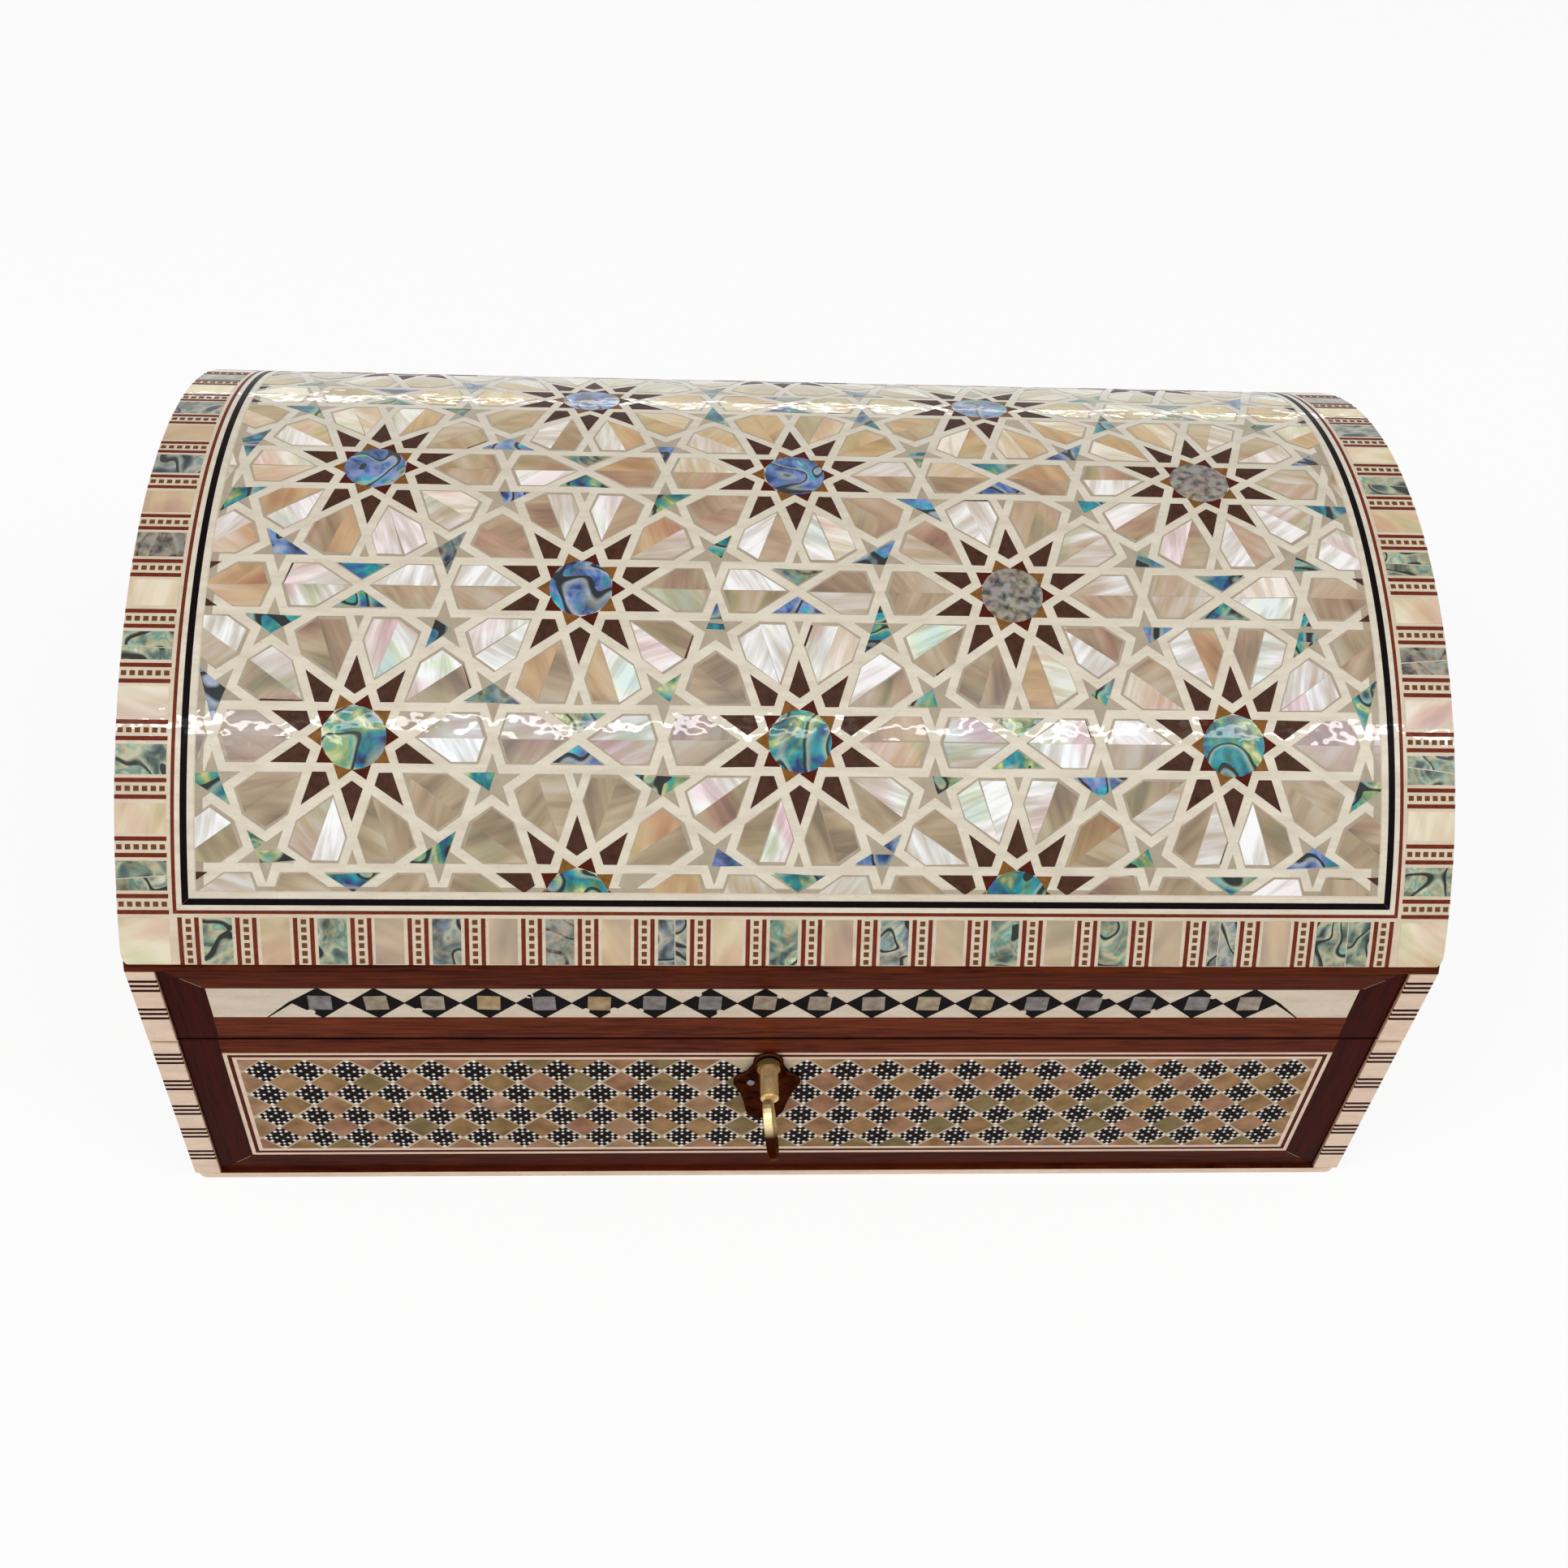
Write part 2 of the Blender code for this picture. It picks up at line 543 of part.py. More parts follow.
def build_lock(base, bolt_guide, finish, keyhole):
    """Lock case, its cap with the drill pin, the face plate and the sliding bolt."""
    x = KEY_AXIS.x
    left = x - CASE_INNER_LEFT - PLATE_THICKNESS
    right = x + CASE_INNER_RIGHT + PLATE_THICKNESS
    foot = KEY_Z - CASE_INNER_FOOT - PLATE_THICKNESS
    case = block(
        "lock_case", (left, CASE_FRONT, foot), (right, CASE_BACK, CASE_TOP), finish["steel"], base)
    room = as_tool(block(
        "lock_room_tool",
        (left + PLATE_THICKNESS, CASE_INNER_FRONT, foot + PLATE_THICKNESS),
        (right - PLATE_THICKNESS, CASE_BACK + OVERSHOOT, CASE_TOP - PLATE_THICKNESS),
        finish["tool"], base))
    half_slot = STAPLE_WIDTH / 2 + STAPLE_SLOT_CLEARANCE - FIT / 3
    slot = as_tool(block(
        "staple_slot_tool",
        (x + STAPLE_LEFT - FIT, LOCK_MIDDLE - half_slot, CASE_TOP - PLATE_THICKNESS - OVERSHOOT),
        (x + STAPLE_RIGHT + FIT, LOCK_MIDDLE + half_slot, BASE_TOP + OVERSHOOT), finish["tool"], base))
    combine(case, "DIFFERENCE", room, slot, keyhole)

    cap = block("lock_cap", (left, CAP_FRONT, foot), (right, CAP_BACK, CASE_TOP), finish["steel"], base)
    pin = as_tool(rod(
        "drill_pin_tool", DRILL_PIN_RADIUS, "Y", CAP_FRONT - DRILL_PIN_LENGTH,
        CAP_FRONT + PLATE_THICKNESS / 2, (x, 0.0, KEY_Z), finish["tool"], base, 16))
    combine(cap, "UNION", pin)

    face_plate = block(
        "lock_face_plate", (left - FACE_PLATE_OVERLAP, CASE_FRONT, FACE_PLATE_BOTTOM),
        (right + FACE_PLATE_OVERLAP, CAP_BACK, BASE_TOP), finish["brass"], base)
    combine(face_plate, "DIFFERENCE", slot)

    outline = [
        (-BOLT_LEFT, -BOLT_FOOT), (BOLT_RIGHT, -BOLT_FOOT), (BOLT_RIGHT, BOLT_NOSE_RISE),
        (BOLT_NOSE, BOLT_NOSE_RISE), (BOLT_NOSE, BOLT_NOSE_TOP), (BOLT_ARM, BOLT_NOSE_TOP),
        (BOLT_ARM, -BOLT_BAR_TOP), (TALON_HALF_WIDTH, -BOLT_BAR_TOP), (TALON_HALF_WIDTH, -TALON_FLOOR),
        (-TALON_HALF_WIDTH, -TALON_FLOOR), (-TALON_HALF_WIDTH, -BOLT_BAR_TOP), (-BOLT_LEFT, -BOLT_BAR_TOP)]
    prism(
        "lock_bolt", outline, "Y", -BOLT_THICKNESS / 2, BOLT_THICKNESS / 2, bolt_guide.location,
        finish["brass"], bolt_guide)

    mortise = as_tool(block(
        "lock_mortise_tool", (left - FIT, MORTISE_FRONT, foot - FIT),
        (right + FIT, FRONT_INSIDE + OVERSHOOT, FACE_PLATE_BOTTOM), finish["tool"], base))
    rebate = as_tool(block(
        "face_plate_rebate_tool",
        (left - FACE_PLATE_OVERLAP - FIT, MORTISE_FRONT, FACE_PLATE_BOTTOM - FIT),
        (right + FACE_PLATE_OVERLAP + FIT, FRONT_INSIDE + OVERSHOOT, BASE_TOP + OVERSHOOT),
        finish["tool"], base))
    return mortise, rebate


def build_key(key_axis, finish):
    """Pipe key: hollow barrel with a collar, a flat neck, an oval bow that leans a little and a bit."""
    axis = key_axis.location
    bore = DRILL_PIN_RADIUS + FIT
    tip = KEY_TIP - axis.y
    collar_back = ESCUTCHEON_FRONT - FIT - axis.y
    collar_front = collar_back - COLLAR_LENGTH
    profile = (
        (0.0, -BARREL_REACH), (BARREL_RADIUS, -BARREL_REACH),
        (BARREL_RADIUS, collar_front), (COLLAR_RADIUS, collar_front), (COLLAR_RADIUS, collar_back),
        (BARREL_RADIUS, collar_back), (BARREL_RADIUS, tip), (bore, tip), (bore, tip - BORE_DEPTH),
        (0.0, tip - BORE_DEPTH))
    key = turned("key", profile, "Y", axis, finish["brass"], key_axis)
    bow_back = -BARREL_REACH - NECK_LENGTH
    middle = bow_back - BOW_LENGTH / 2

    def oval(margin):
        half_length = BOW_LENGTH / 2 - margin
        half_height = BOW_HEIGHT / 2 - margin
        angles = [math.tau * step / 32 for step in range(32)]
        return [(middle + half_length * math.cos(a), half_height * math.sin(a)) for a in angles]

    half = BOW_THICKNESS / 2
    bow = as_tool(prism("key_bow_tool", oval(0.0), "X", -half, half, axis, finish["tool"], key_axis))
    round_edges(bow, BOW_THICKNESS / 4)
    neck_span = bow_back - BOW_RIM * 0.6, BOW_RIM * 0.6 - BARREL_REACH
    neck = as_tool(prism(
        "key_neck_tool",
        [(neck_span[0], -NECK_HEIGHT / 2), (neck_span[1], -NECK_HEIGHT / 2),
         (neck_span[1], NECK_HEIGHT / 2), (neck_span[0], NECK_HEIGHT / 2)],
        "X", -NECK_THICKNESS / 2, NECK_THICKNESS / 2, axis, finish["tool"], key_axis))
    eye = as_tool(prism(
        "key_eye_tool", oval(BOW_RIM), "X", -half - BARREL_RADIUS, half + BARREL_RADIUS, axis,
        finish["tool"], key_axis))
    for tool in (bow, neck, eye):
        tool.rotation_euler.y = -BOW_LEAN
    bit_back = LOCK_MIDDLE + BIT_LENGTH / 2
    bit = as_tool(block(
        "key_bit_tool", (axis.x - BIT_WIDTH / 2, bit_back - BIT_LENGTH, axis.z - BIT_RADIUS),
        (axis.x + BIT_WIDTH / 2, bit_back, axis.z - (bore + BARREL_RADIUS) / 2), finish["tool"], key_axis))
    combine(key, "UNION", neck, bow, bit)
    combine(key, "DIFFERENCE", eye)


def build_strike_plate(lid, finish):
    """Plate under the lid's front rail with the staple that the bolt slides through."""
    x = KEY_AXIS.x
    plate_x = (x - CASE_INNER_LEFT, x + CASE_INNER_RIGHT + FACE_PLATE_OVERLAP)
    plate = block(
        "strike_plate", (plate_x[0], CASE_FRONT, LID_BOTTOM),
        (plate_x[1], CAP_BACK, LID_BOTTOM + PLATE_THICKNESS), finish["brass"], lid)
    eye_low = KEY_Z + BOLT_NOSE_RISE - 2 * FIT
    eye_high = KEY_Z + BOLT_NOSE_TOP + 2 * FIT
    staple = as_tool(block(
        "staple_tool", (x + STAPLE_LEFT, LOCK_MIDDLE - STAPLE_WIDTH / 2, eye_low - STAPLE_FOOT),
        (x + STAPLE_RIGHT, LOCK_MIDDLE + STAPLE_WIDTH / 2, LID_BOTTOM + PLATE_THICKNESS / 2),
        finish["tool"], lid))
    eye = as_tool(block(
        "staple_eye_tool", (x + STAPLE_LEFT - OVERSHOOT, LOCK_MIDDLE - STAPLE_EYE / 2, eye_low),
        (x + STAPLE_RIGHT + OVERSHOOT, LOCK_MIDDLE + STAPLE_EYE / 2, eye_high), finish["tool"], lid))
    combine(plate, "UNION", staple)
    combine(plate, "DIFFERENCE", eye)
    return as_tool(block(
        "strike_rebate_tool", (plate_x[0] - FIT, CASE_FRONT - FIT, LID_BOTTOM - OVERSHOOT),
        (plate_x[1] + FIT, FRONT_INSIDE + OVERSHOOT, LID_BOTTOM + PLATE_THICKNESS + FIT),
        finish["tool"], lid))


def leaf_outline(own_spans):
    """Hinge leaf seen from above, about the hinge's middle, with a tab at each of its own knuckles."""
    half = HINGE_LENGTH / 2
    inner = LEAF_INNER_EDGE - HINGE_Y
    edge = LEAF_EDGE - HINGE_Y
    outline = [(-half, edge), (-half, inner), (half, inner), (half, edge)]
    for low, high in sorted(own_spans, reverse=True):
        outline += [(high, edge), (high, 0.0), (low, 0.0), (low, edge)]
    return [point for index, point in enumerate(outline) if point != outline[index - 1]]


def screw_profile(grow, head_rise):
    """Countersunk screw from its tip up to its head, grown by a clearance."""
    shank = SCREW_SHANK_RADIUS + grow
    head = SCREW_HEAD_RADIUS + grow
    return (
        (0.0, -SCREW_LENGTH - grow), (shank, -SCREW_LENGTH - grow), (shank, -SCREW_HEAD_DEPTH),
        (head, 0.0), (head, head_rise), (0.0, head_rise))


def build_hinge(side, sign, base, lid, finish):
    """One butt hinge: two leaves, its pin and four screws. Returns the cuts for base and lid."""
    x = sign * (HALF_WIDTH - HINGE_END_MARGIN)
    half = HINGE_LENGTH / 2
    gap = LID_KNUCKLE_LENGTH / 2
    spans = {"base": ((-half, -gap - FIT), (gap + FIT, half)), "lid": ((-gap, gap),)}
    bodies = {"base": base, "lid": lid}
    pin_hole = as_tool(rod(
        f"{side}_hinge_bore_tool", HINGE_PIN_RADIUS + FIT, "X", -half - OVERSHOOT, half + OVERSHOOT,
        (x, HINGE_Y, SEAM_HEIGHT), finish["tool"], base, 16))
    cuts = {}
    for part, upward in (("base", -1), ("lid", 1)):
        body = bodies[part]
        face = upward * SEAM_GAP / 2
        low, high = sorted((face, face + upward * HINGE_LEAF_THICKNESS))
        leaf = prism(
            f"{side}_hinge_{part}_leaf", leaf_outline(spans[part]), "Z", low, high,
            (x, HINGE_Y, SEAM_HEIGHT), finish["brass"], body)
        for index, (start, end) in enumerate(spans[part]):
            knuckle = as_tool(rod(
                f"{side}_{part}_knuckle_{index}_tool", KNUCKLE_RADIUS, "X", start, end,
                (x, HINGE_Y, SEAM_HEIGHT), finish["tool"], body))
            combine(leaf, "UNION", knuckle)
        combine(leaf, "DIFFERENCE", pin_hole)
        face_z = SEAM_HEIGHT + face
        mortise_low, mortise_high = sorted((
            face_z - upward * OVERSHOOT, face_z + upward * (HINGE_LEAF_THICKNESS + FIT)))
        mortise = as_tool(block(
            f"{side}_hinge_{part}_mortise_tool", (x - half - FIT, LEAF_INNER_EDGE - FIT, mortise_low),
            (x + half + FIT, BACK_FACE + OVERSHOOT, mortise_high), finish["tool"], body))
        cuts[part] = [mortise]
        for end_name, end_sign in (("outer", sign), ("inner", -sign)):
            place = (x + end_sign * SCREW_SPACING / 2, LEAF_INNER_EDGE + SCREW_EDGE, face_z)
            name = f"{side}_hinge_{part}_{end_name}_screw"
            screw = turned(name, screw_profile(0.0, 0.0), "Z", place, finish["brass"], body, 12)
            hole = as_tool(turned(
                f"{name}_hole_tool", screw_profile(FIT, OVERSHOOT), "Z", place, finish["tool"], body, 12))
            if part == "lid":
                screw.rotation_euler.x = math.pi
                hole.rotation_euler.x = math.pi
            combine(leaf, "DIFFERENCE", hole)
            cuts[part].append(hole)
    rod(
        f"{side}_hinge_pin", HINGE_PIN_RADIUS, "X", -half - HINGE_PIN_STAND_OUT,
        half + HINGE_PIN_STAND_OUT, (x, HINGE_Y, SEAM_HEIGHT), finish["brass"], base, 16)
    return cuts


def build_lid_rails(lid, finish):
    """Front and back rails of the lid with their diamond bands let in flush."""
    rails = {}
    band_x = HALF_WIDTH - BAND_SIDE_MARGIN
    low_z = SEAM_HEIGHT + BAND_BOTTOM_MARGIN
    high_z = EAVE_HEIGHT - BAND_TOP_MARGIN
    for side, face, inside in (
            ("front", FRONT_FACE, FRONT_INSIDE),
            ("back", BACK_FACE, BACK_INSIDE)):
        near, far = sorted((face, inside))
        rails[side] = block(
            f"lid_{side}_rail", (-WALL_HALF_LENGTH, near, LID_BOTTOM),
            (WALL_HALF_LENGTH, far, EAVE_HEIGHT - FIT), finish["mahogany"], lid)
        inward = math.copysign(1.0, inside - face)
        near, far = sorted((face, face + inward * INLAY_THICKNESS))
        block(
            f"lid_{side}_band", (-band_x, near, low_z), (band_x, far, high_z), finish["bone"], lid)
        near, far = sorted((face - inward * OVERSHOOT, face + inward * INLAY_POCKET))
        pocket = as_tool(block(
            f"lid_{side}_pocket_tool", (-band_x - FIT, near, low_z - FIT),
            (band_x + FIT, far, high_z + FIT), finish["tool"], lid))
        combine(rails[side], "DIFFERENCE", pocket)
    return rails


def arch_outline(half_depth, low_z, radius, shoulder_z=None):
    """Arch under the dome, seen from the end, from a level base line up to an arc about its axis.

    With a shoulder the sides rise to it and step in to the arc, without one they meet the arc.
    """
    if shoulder_z is None:
        angle = math.acos(half_depth / radius)
        corners = []
    else:
        angle = level_angle(radius, shoulder_z)
        corners = [(half_depth, shoulder_z - DOME_AXIS_Z)]
    base_line = low_z - DOME_AXIS_Z
    arc = arc_points(radius, angle, math.pi - angle, ARC_STEPS + 1)
    mirrored = [(-y, z) for y, z in reversed(corners)]
    return [(-half_depth, base_line), (half_depth, base_line)] + corners + arc + mirrored


def build_lid_ends(lid, finish):
    """Arched end boards of the lid with an arched inlay panel let into each."""
    board = arch_outline(END_HALF_DEPTH, LID_BOTTOM, BOARD_INSIDE - FIT, EAVE_HEIGHT - FIT)
    inlay_low = SEAM_HEIGHT + LID_END_BOTTOM_MARGIN
    inlay_y = HALF_DEPTH - PANEL_SIDE_MARGIN
    inlay_radius = BOARD_INSIDE - FIT - LID_END_ARCH_MARGIN
    inlay = arch_outline(inlay_y, inlay_low, inlay_radius)
    opening = arch_outline(inlay_y + FIT, inlay_low - FIT, inlay_radius + FIT)
    origin = (0.0, 0.0, DOME_AXIS_Z)
    for side, sign in (("left", -1), ("right", 1)):
        near, far = sorted((sign * HALF_WIDTH, sign * END_INSIDE))
        end = prism(f"lid_{side}_end", board, "X", near, far, origin, finish["mahogany"], lid)
        near, far = sorted((sign * HALF_WIDTH, sign * (HALF_WIDTH - INLAY_THICKNESS)))
        prism(f"lid_{side}_inlay", inlay, "X", near, far, origin, finish["pearl"], lid)
        near, far = sorted((sign * (HALF_WIDTH + OVERSHOOT), sign * (HALF_WIDTH - INLAY_POCKET)))
        pocket = as_tool(prism(
            f"lid_{side}_pocket_tool", opening, "X", near, far, origin, finish["tool"], lid))
        combine(end, "DIFFERENCE", pocket)


def build_dome(lid, finish):
    """Curved board of the lid, the star field and border laid on it, and the lining below it."""
    shares = even_shares(ARC_STEPS)
    board_angle = level_angle(BOARD_RADIUS, EAVE_HEIGHT)
    inside_angle = level_angle(BOARD_INSIDE, EAVE_HEIGHT)
    curved_plate(
        "dome_board", (-HALF_WIDTH, HALF_WIDTH), shares, (BOARD_RADIUS, board_angle),
        (BOARD_INSIDE, inside_angle), finish["mahogany"], lid)

    lining_radius = BOARD_INSIDE - FIT
    lining_inside = lining_radius - LID_LINING_THICKNESS
    curved_plate(
        "lid_lining", (-END_INSIDE + FIT, END_INSIDE - FIT), shares,
        (lining_radius, level_angle(lining_radius, EAVE_HEIGHT)),
        (lining_inside, level_angle(lining_inside, EAVE_HEIGHT)), finish["velvet"], lid)

    inlay_inside = DOME_RADIUS - INLAY_THICKNESS
    arc_angle = math.pi - 2 * INLAY_EDGE_ANGLE
    field_x = HALF_WIDTH - DOME_BORDER_WIDTH
    trim = (DOME_BORDER_WIDTH + FIT) / DOME_RADIUS
    field_angle = INLAY_EDGE_ANGLE + trim
    curved_plate(
        "dome_field", (-field_x + FIT, field_x - FIT), shares, (DOME_RADIUS, field_angle),
        (inlay_inside, field_angle), finish["pearl"], lid)

    border_share = DOME_BORDER_WIDTH / DOME_RADIUS / arc_angle
    inner = [border_share + (1 - 2 * border_share) * share for share in shares]
    border_shares = [0.0, border_share / 2] + inner + [1 - border_share / 2, 1.0]
    last_row = len(border_shares) - 3
    curved_plate(
        "dome_border", (-HALF_WIDTH, -field_x, field_x, HALF_WIDTH), border_shares,
        (DOME_RADIUS, INLAY_EDGE_ANGLE), (inlay_inside, INLAY_EDGE_ANGLE), finish["bone"], lid,
        hole=(range(1, 2), range(2, last_row)))


def make_finishes():
    """Materials of the box, in linear colours taken from the photograph."""
    return {
        "mahogany": make_material("lacquered_mahogany", (0.075, 0.016, 0.010), 0.18),
        "poplar": make_material("poplar_plywood", (0.36, 0.22, 0.12), 0.6),
        "bone": make_material("camel_bone", (0.68, 0.60, 0.46), 0.25),
        "pearl": make_material("mother_of_pearl", (0.52, 0.46, 0.38), 0.2),
        "mosaic": make_material("wood_and_pearl_mosaic", (0.22, 0.16, 0.10), 0.22),
        "velvet": make_material("red_velvet", (0.16, 0.008, 0.014), 0.9),
        "bronze": make_material("dark_bronze", (0.05, 0.028, 0.022), 0.35, 0.9),
        "brass": make_material("brass", (0.60, 0.42, 0.14), 0.3, 1.0),
        "steel": make_material("lock_steel", (0.32, 0.31, 0.30), 0.45, 1.0),
        "tool": make_material("cutting_tool", (0.8, 0.8, 0.8), 0.5),
    }


def main():
    """Build every piece of the box in its place."""
    clear_scene()
    finish = make_finishes()
    base = make_empty("base_body", (0, 0, 0))
    lid = make_empty("lid_hinge_axis", HINGE_AXIS)
    key_axis = make_empty("key_axis", KEY_AXIS)
    bolt_guide = make_empty("bolt_guide", (KEY_AXIS.x, LOCK_MIDDLE, KEY_Z))

    build_bottom(base, finish)
    walls, panels = build_base_walls(base, finish)
    build_corner_strips("base", BASE_BOTTOM, BASE_TOP, base, finish)
    build_linings(base, finish)

    escutcheon, keyhole = build_escutcheon(base, finish)
    pin_holes = build_escutcheon_pins(base, finish)
    combine(escutcheon, "DIFFERENCE", *pin_holes)
    combine(panels["front"], "DIFFERENCE", keyhole, *pin_holes)
    mortise, rebate = build_lock(base, bolt_guide, finish, keyhole)
    combine(walls["front"], "DIFFERENCE", mortise, rebate, keyhole, *pin_holes)
    build_key(key_axis, finish)

    rails = build_lid_rails(lid, finish)
    build_corner_strips("lid", LID_BOTTOM, EAVE_HEIGHT - FIT, lid, finish)
    build_lid_ends(lid, finish)
    build_dome(lid, finish)
    combine(rails["front"], "DIFFERENCE", build_strike_plate(lid, finish))
    for side, sign in (("left", -1), ("right", 1)):
        cuts = build_hinge(side, sign, base, lid, finish)
        combine(walls["back"], "DIFFERENCE", *cuts["base"])
        combine(rails["back"], "DIFFERENCE", *cuts["lid"])


main()
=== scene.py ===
"""Looks of an inlaid jewellery box: bone, shell and wood inlay, lacquered mahogany, velvet and metal.

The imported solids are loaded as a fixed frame, in metres with +Z up and the lock's side facing -Y.
Inlay is drawn flat, piece by piece, and then cut to its field, given its thickness and laid on its surface.
"""

import json
import math
import random

import bmesh
import bpy
from mathutils import Matrix, Vector


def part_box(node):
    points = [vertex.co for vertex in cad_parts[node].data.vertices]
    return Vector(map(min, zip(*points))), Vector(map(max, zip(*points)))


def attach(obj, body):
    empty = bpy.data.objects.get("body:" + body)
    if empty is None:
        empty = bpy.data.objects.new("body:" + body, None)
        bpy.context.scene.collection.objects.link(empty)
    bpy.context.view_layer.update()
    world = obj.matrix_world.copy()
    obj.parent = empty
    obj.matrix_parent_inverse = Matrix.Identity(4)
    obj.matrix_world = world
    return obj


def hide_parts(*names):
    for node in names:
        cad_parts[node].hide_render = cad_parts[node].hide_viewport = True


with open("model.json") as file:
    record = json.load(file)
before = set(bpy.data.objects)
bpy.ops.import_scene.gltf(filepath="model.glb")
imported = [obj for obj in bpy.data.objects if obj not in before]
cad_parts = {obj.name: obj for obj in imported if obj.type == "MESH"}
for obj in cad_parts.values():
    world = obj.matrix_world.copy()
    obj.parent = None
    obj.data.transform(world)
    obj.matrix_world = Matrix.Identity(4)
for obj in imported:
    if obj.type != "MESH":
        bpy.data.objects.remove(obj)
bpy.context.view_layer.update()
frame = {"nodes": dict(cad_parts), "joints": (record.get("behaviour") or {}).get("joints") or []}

bl_info = {
    "name": "Inlaid Jewellery Box",
    "version": (1, 0, 0),
    "blender": (4, 5, 0),
    "location": "View3D > Sidebar > Inlaid Box",
    "description": "Dresses the box's solids with shell, bone and wood inlay, velvet and metal",
    "category": "Object",
}

MM = 0.001

# Planes of the box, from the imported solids
INLAY_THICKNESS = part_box("base_front_inlay")[1].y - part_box("base_front_inlay")[0].y
FRONT_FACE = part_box("base_front_inlay")[0].y
BACK_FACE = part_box("base_back_inlay")[1].y
LEFT_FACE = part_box("base_left_inlay")[0].x
RIGHT_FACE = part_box("base_right_inlay")[1].x
KEY_AXIS = next(joint for joint in frame["joints"] if joint["name"] == "key_turn")["pos_m"]


def dome_arc():
    """Radius and axis height of the dome's outer face, from the box of the border plate."""
    low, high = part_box("dome_border")
    edge = low.z
    for _ in range(40):
        rise = high.z - edge
        radius = (high.y ** 2 + rise ** 2) / (2 * rise)
        axis = high.z - radius
        edge = low.z + INLAY_THICKNESS * (edge - axis) / radius
    return radius, axis, edge


DOME_RADIUS, DOME_AXIS, DOME_EDGE = dome_arc()
DOME_HALF_ARC = DOME_RADIUS * (math.pi / 2 - math.asin((DOME_EDGE - DOME_AXIS) / DOME_RADIUS))
DOME_HALF_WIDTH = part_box("dome_border")[1].x
FIELD_HALF_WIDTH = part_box("dome_field")[1].x
BORDER_WIDTH = DOME_HALF_WIDTH - FIELD_HALF_WIDTH
LID_LINING_DEPTH = 1.2 * MM
STRIP_JOINT = 0.25 * MM
LEDGE_REACH = FRONT_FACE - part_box("bottom_edging")[0].y - 0.1 * MM

# Ten-pointed star pattern, as shares of the distance between neighbouring stars
GOLDEN = (1 + math.sqrt(5)) / 2
STAR_TIP = 0.190983
STAR_NOTCH = 0.138757
KITE_TIP = 0.363271
PETAL_SIDE = (0.345492, 0.463525)
PETAL_HALF_WIDTH = 0.112257
PETAL_END = 0.5
BOWTIE = GOLDEN / 2
NARROW_BASE = (0.036475, 0.475528)
PENTAGRAM_PLACE = 0.525731
PENTAGRAM_PLACES = (18.0, -18.0, 162.0, 198.0)
PENTAGRAM_TIP = 0.162460
PENTAGRAM_NOTCH = 0.062054
STAR_DISC = 0.117
STAR_ROW_SHARE = math.tan(math.radians(36)) / 2
STAR_COLUMNS, STAR_ROWS = 5, 9

# Shell of the stars: tones of abalone and pearl, which their materials turn into colours
TRIANGLE_TONES, GREEN_TONES, BLUE_TONES, OLD_SHELL_TONE = (0.3, 0.9), (0.5, 0.8), (0.08, 0.42), 0.95
GREEN_DISCS_BELOW = -50 * MM
FRONT_ROWS, TAN_SHARE, TAN_TONE = 48 * MM, 0.45, 0.4
# Golden shell on the crown's back half is partly painted warm light from behind
FRONT_GOLD_SHARE, CROWN_GOLD_AND_WARM_LIGHT_SHARE = 0.15, 0.55
LOST_KITE_SHARE, SLIVER_SHARE, SLIVER_WIDTHS = 0.05, 0.06, (0.3, 0.55)
GREY_DISC_REACH, TWO_POINT_SHARE = 5 * MM, 0.6

# Border of the dome: the front run's separators as measured, the others' evenly spaced
FRONT_FIRST, FRONT_STEP, FRONT_LAST = -134.8 * MM, 12.555 * MM, 135.0 * MM
FRONT_GAPS, RISING_GAPS = 21, 17
BORDER_STRINGS = (("band_bone", 0.85), ("redwood", 0.8), ("bone", 1.2), ("ebony", 1.5), ("bone", 1.5))
ABALONE_TONES = (0.2, 0.3, 0.5, 0.57, 0.64, 0.71, 0.78, 0.9)
LEVEL_PEARL_TONES, RISING_PEARL_TONES = (0.0, 0.52), (0.4, 0.95)
LONGEST_BLOCK, SPLIT_SHARE, SPLIT_PLACES = 10 * MM, 0.45, (0.35, 0.65)
LADDER_SQUARES = 6

DIAMONDS = 18
DOTS_ACROSS = 7
EDGE_DOT, INNER_DOT = 0.8, 0.63
RHOMBUS_SHARES = (0.485, 0.495)
KEYHOLE_HALF_WIDTH, KEYHOLE_DROP = 2.7 * MM, 6.6 * MM
END_RINGS = (("bone", 0.95), ("redwood", 0.95), ("bone", 0.95))
ARCH_STEPS = 32
STRIP_GROUPS = {"base": (11.15, 21.6, 32.2, 43.3, 54.6), "lid": (73.0, 83.8)}

# Veneer, darkest on the stiles and lightest beside the seam; the stiles' dark is partly painted shade, and a
# bar along the seam is painted shadow
BASE_VENEER_TONES, LID_VENEER_TONES, STILE_TONE_AND_SHADE, SEAM_SHADOW_TONE = (0.5, 0.86), (0.68, 1.0), 0.1, 0.0
MITRE_JOINT = 0.03 * MM

PAD_STEP, PAD_LEAST_STEPS, PAD_SOFT_EDGE = 5 * MM, 8, 3.0 * MM

FIELD_SCORE, BORDER_SCORE = 4.0 * MM, 3.5 * MM
CUT_TOLERANCE = 1e-8
LEAST_AREA = 2e-8

# Which finish the solids get that stay as they are, by words in their names; the rest are mahogany
CARRIED_FINISHES = (
    ("brass", ("hinge", "lock_face_plate", "lock_bolt", "strike_plate")),
    ("steel", ("escutcheon_pin", "lock_case", "lock_cap")),
    ("bronze", ("escutcheon",)),
    ("key", ("key",)),
    ("strip_bone", ("strip", "bottom_edging")),
    ("poplar", ("bottom_board",)),
    ("velvet", ("lining",)),
    ("end_mahogany", ("_end", "base_left_wall", "base_right_wall")))

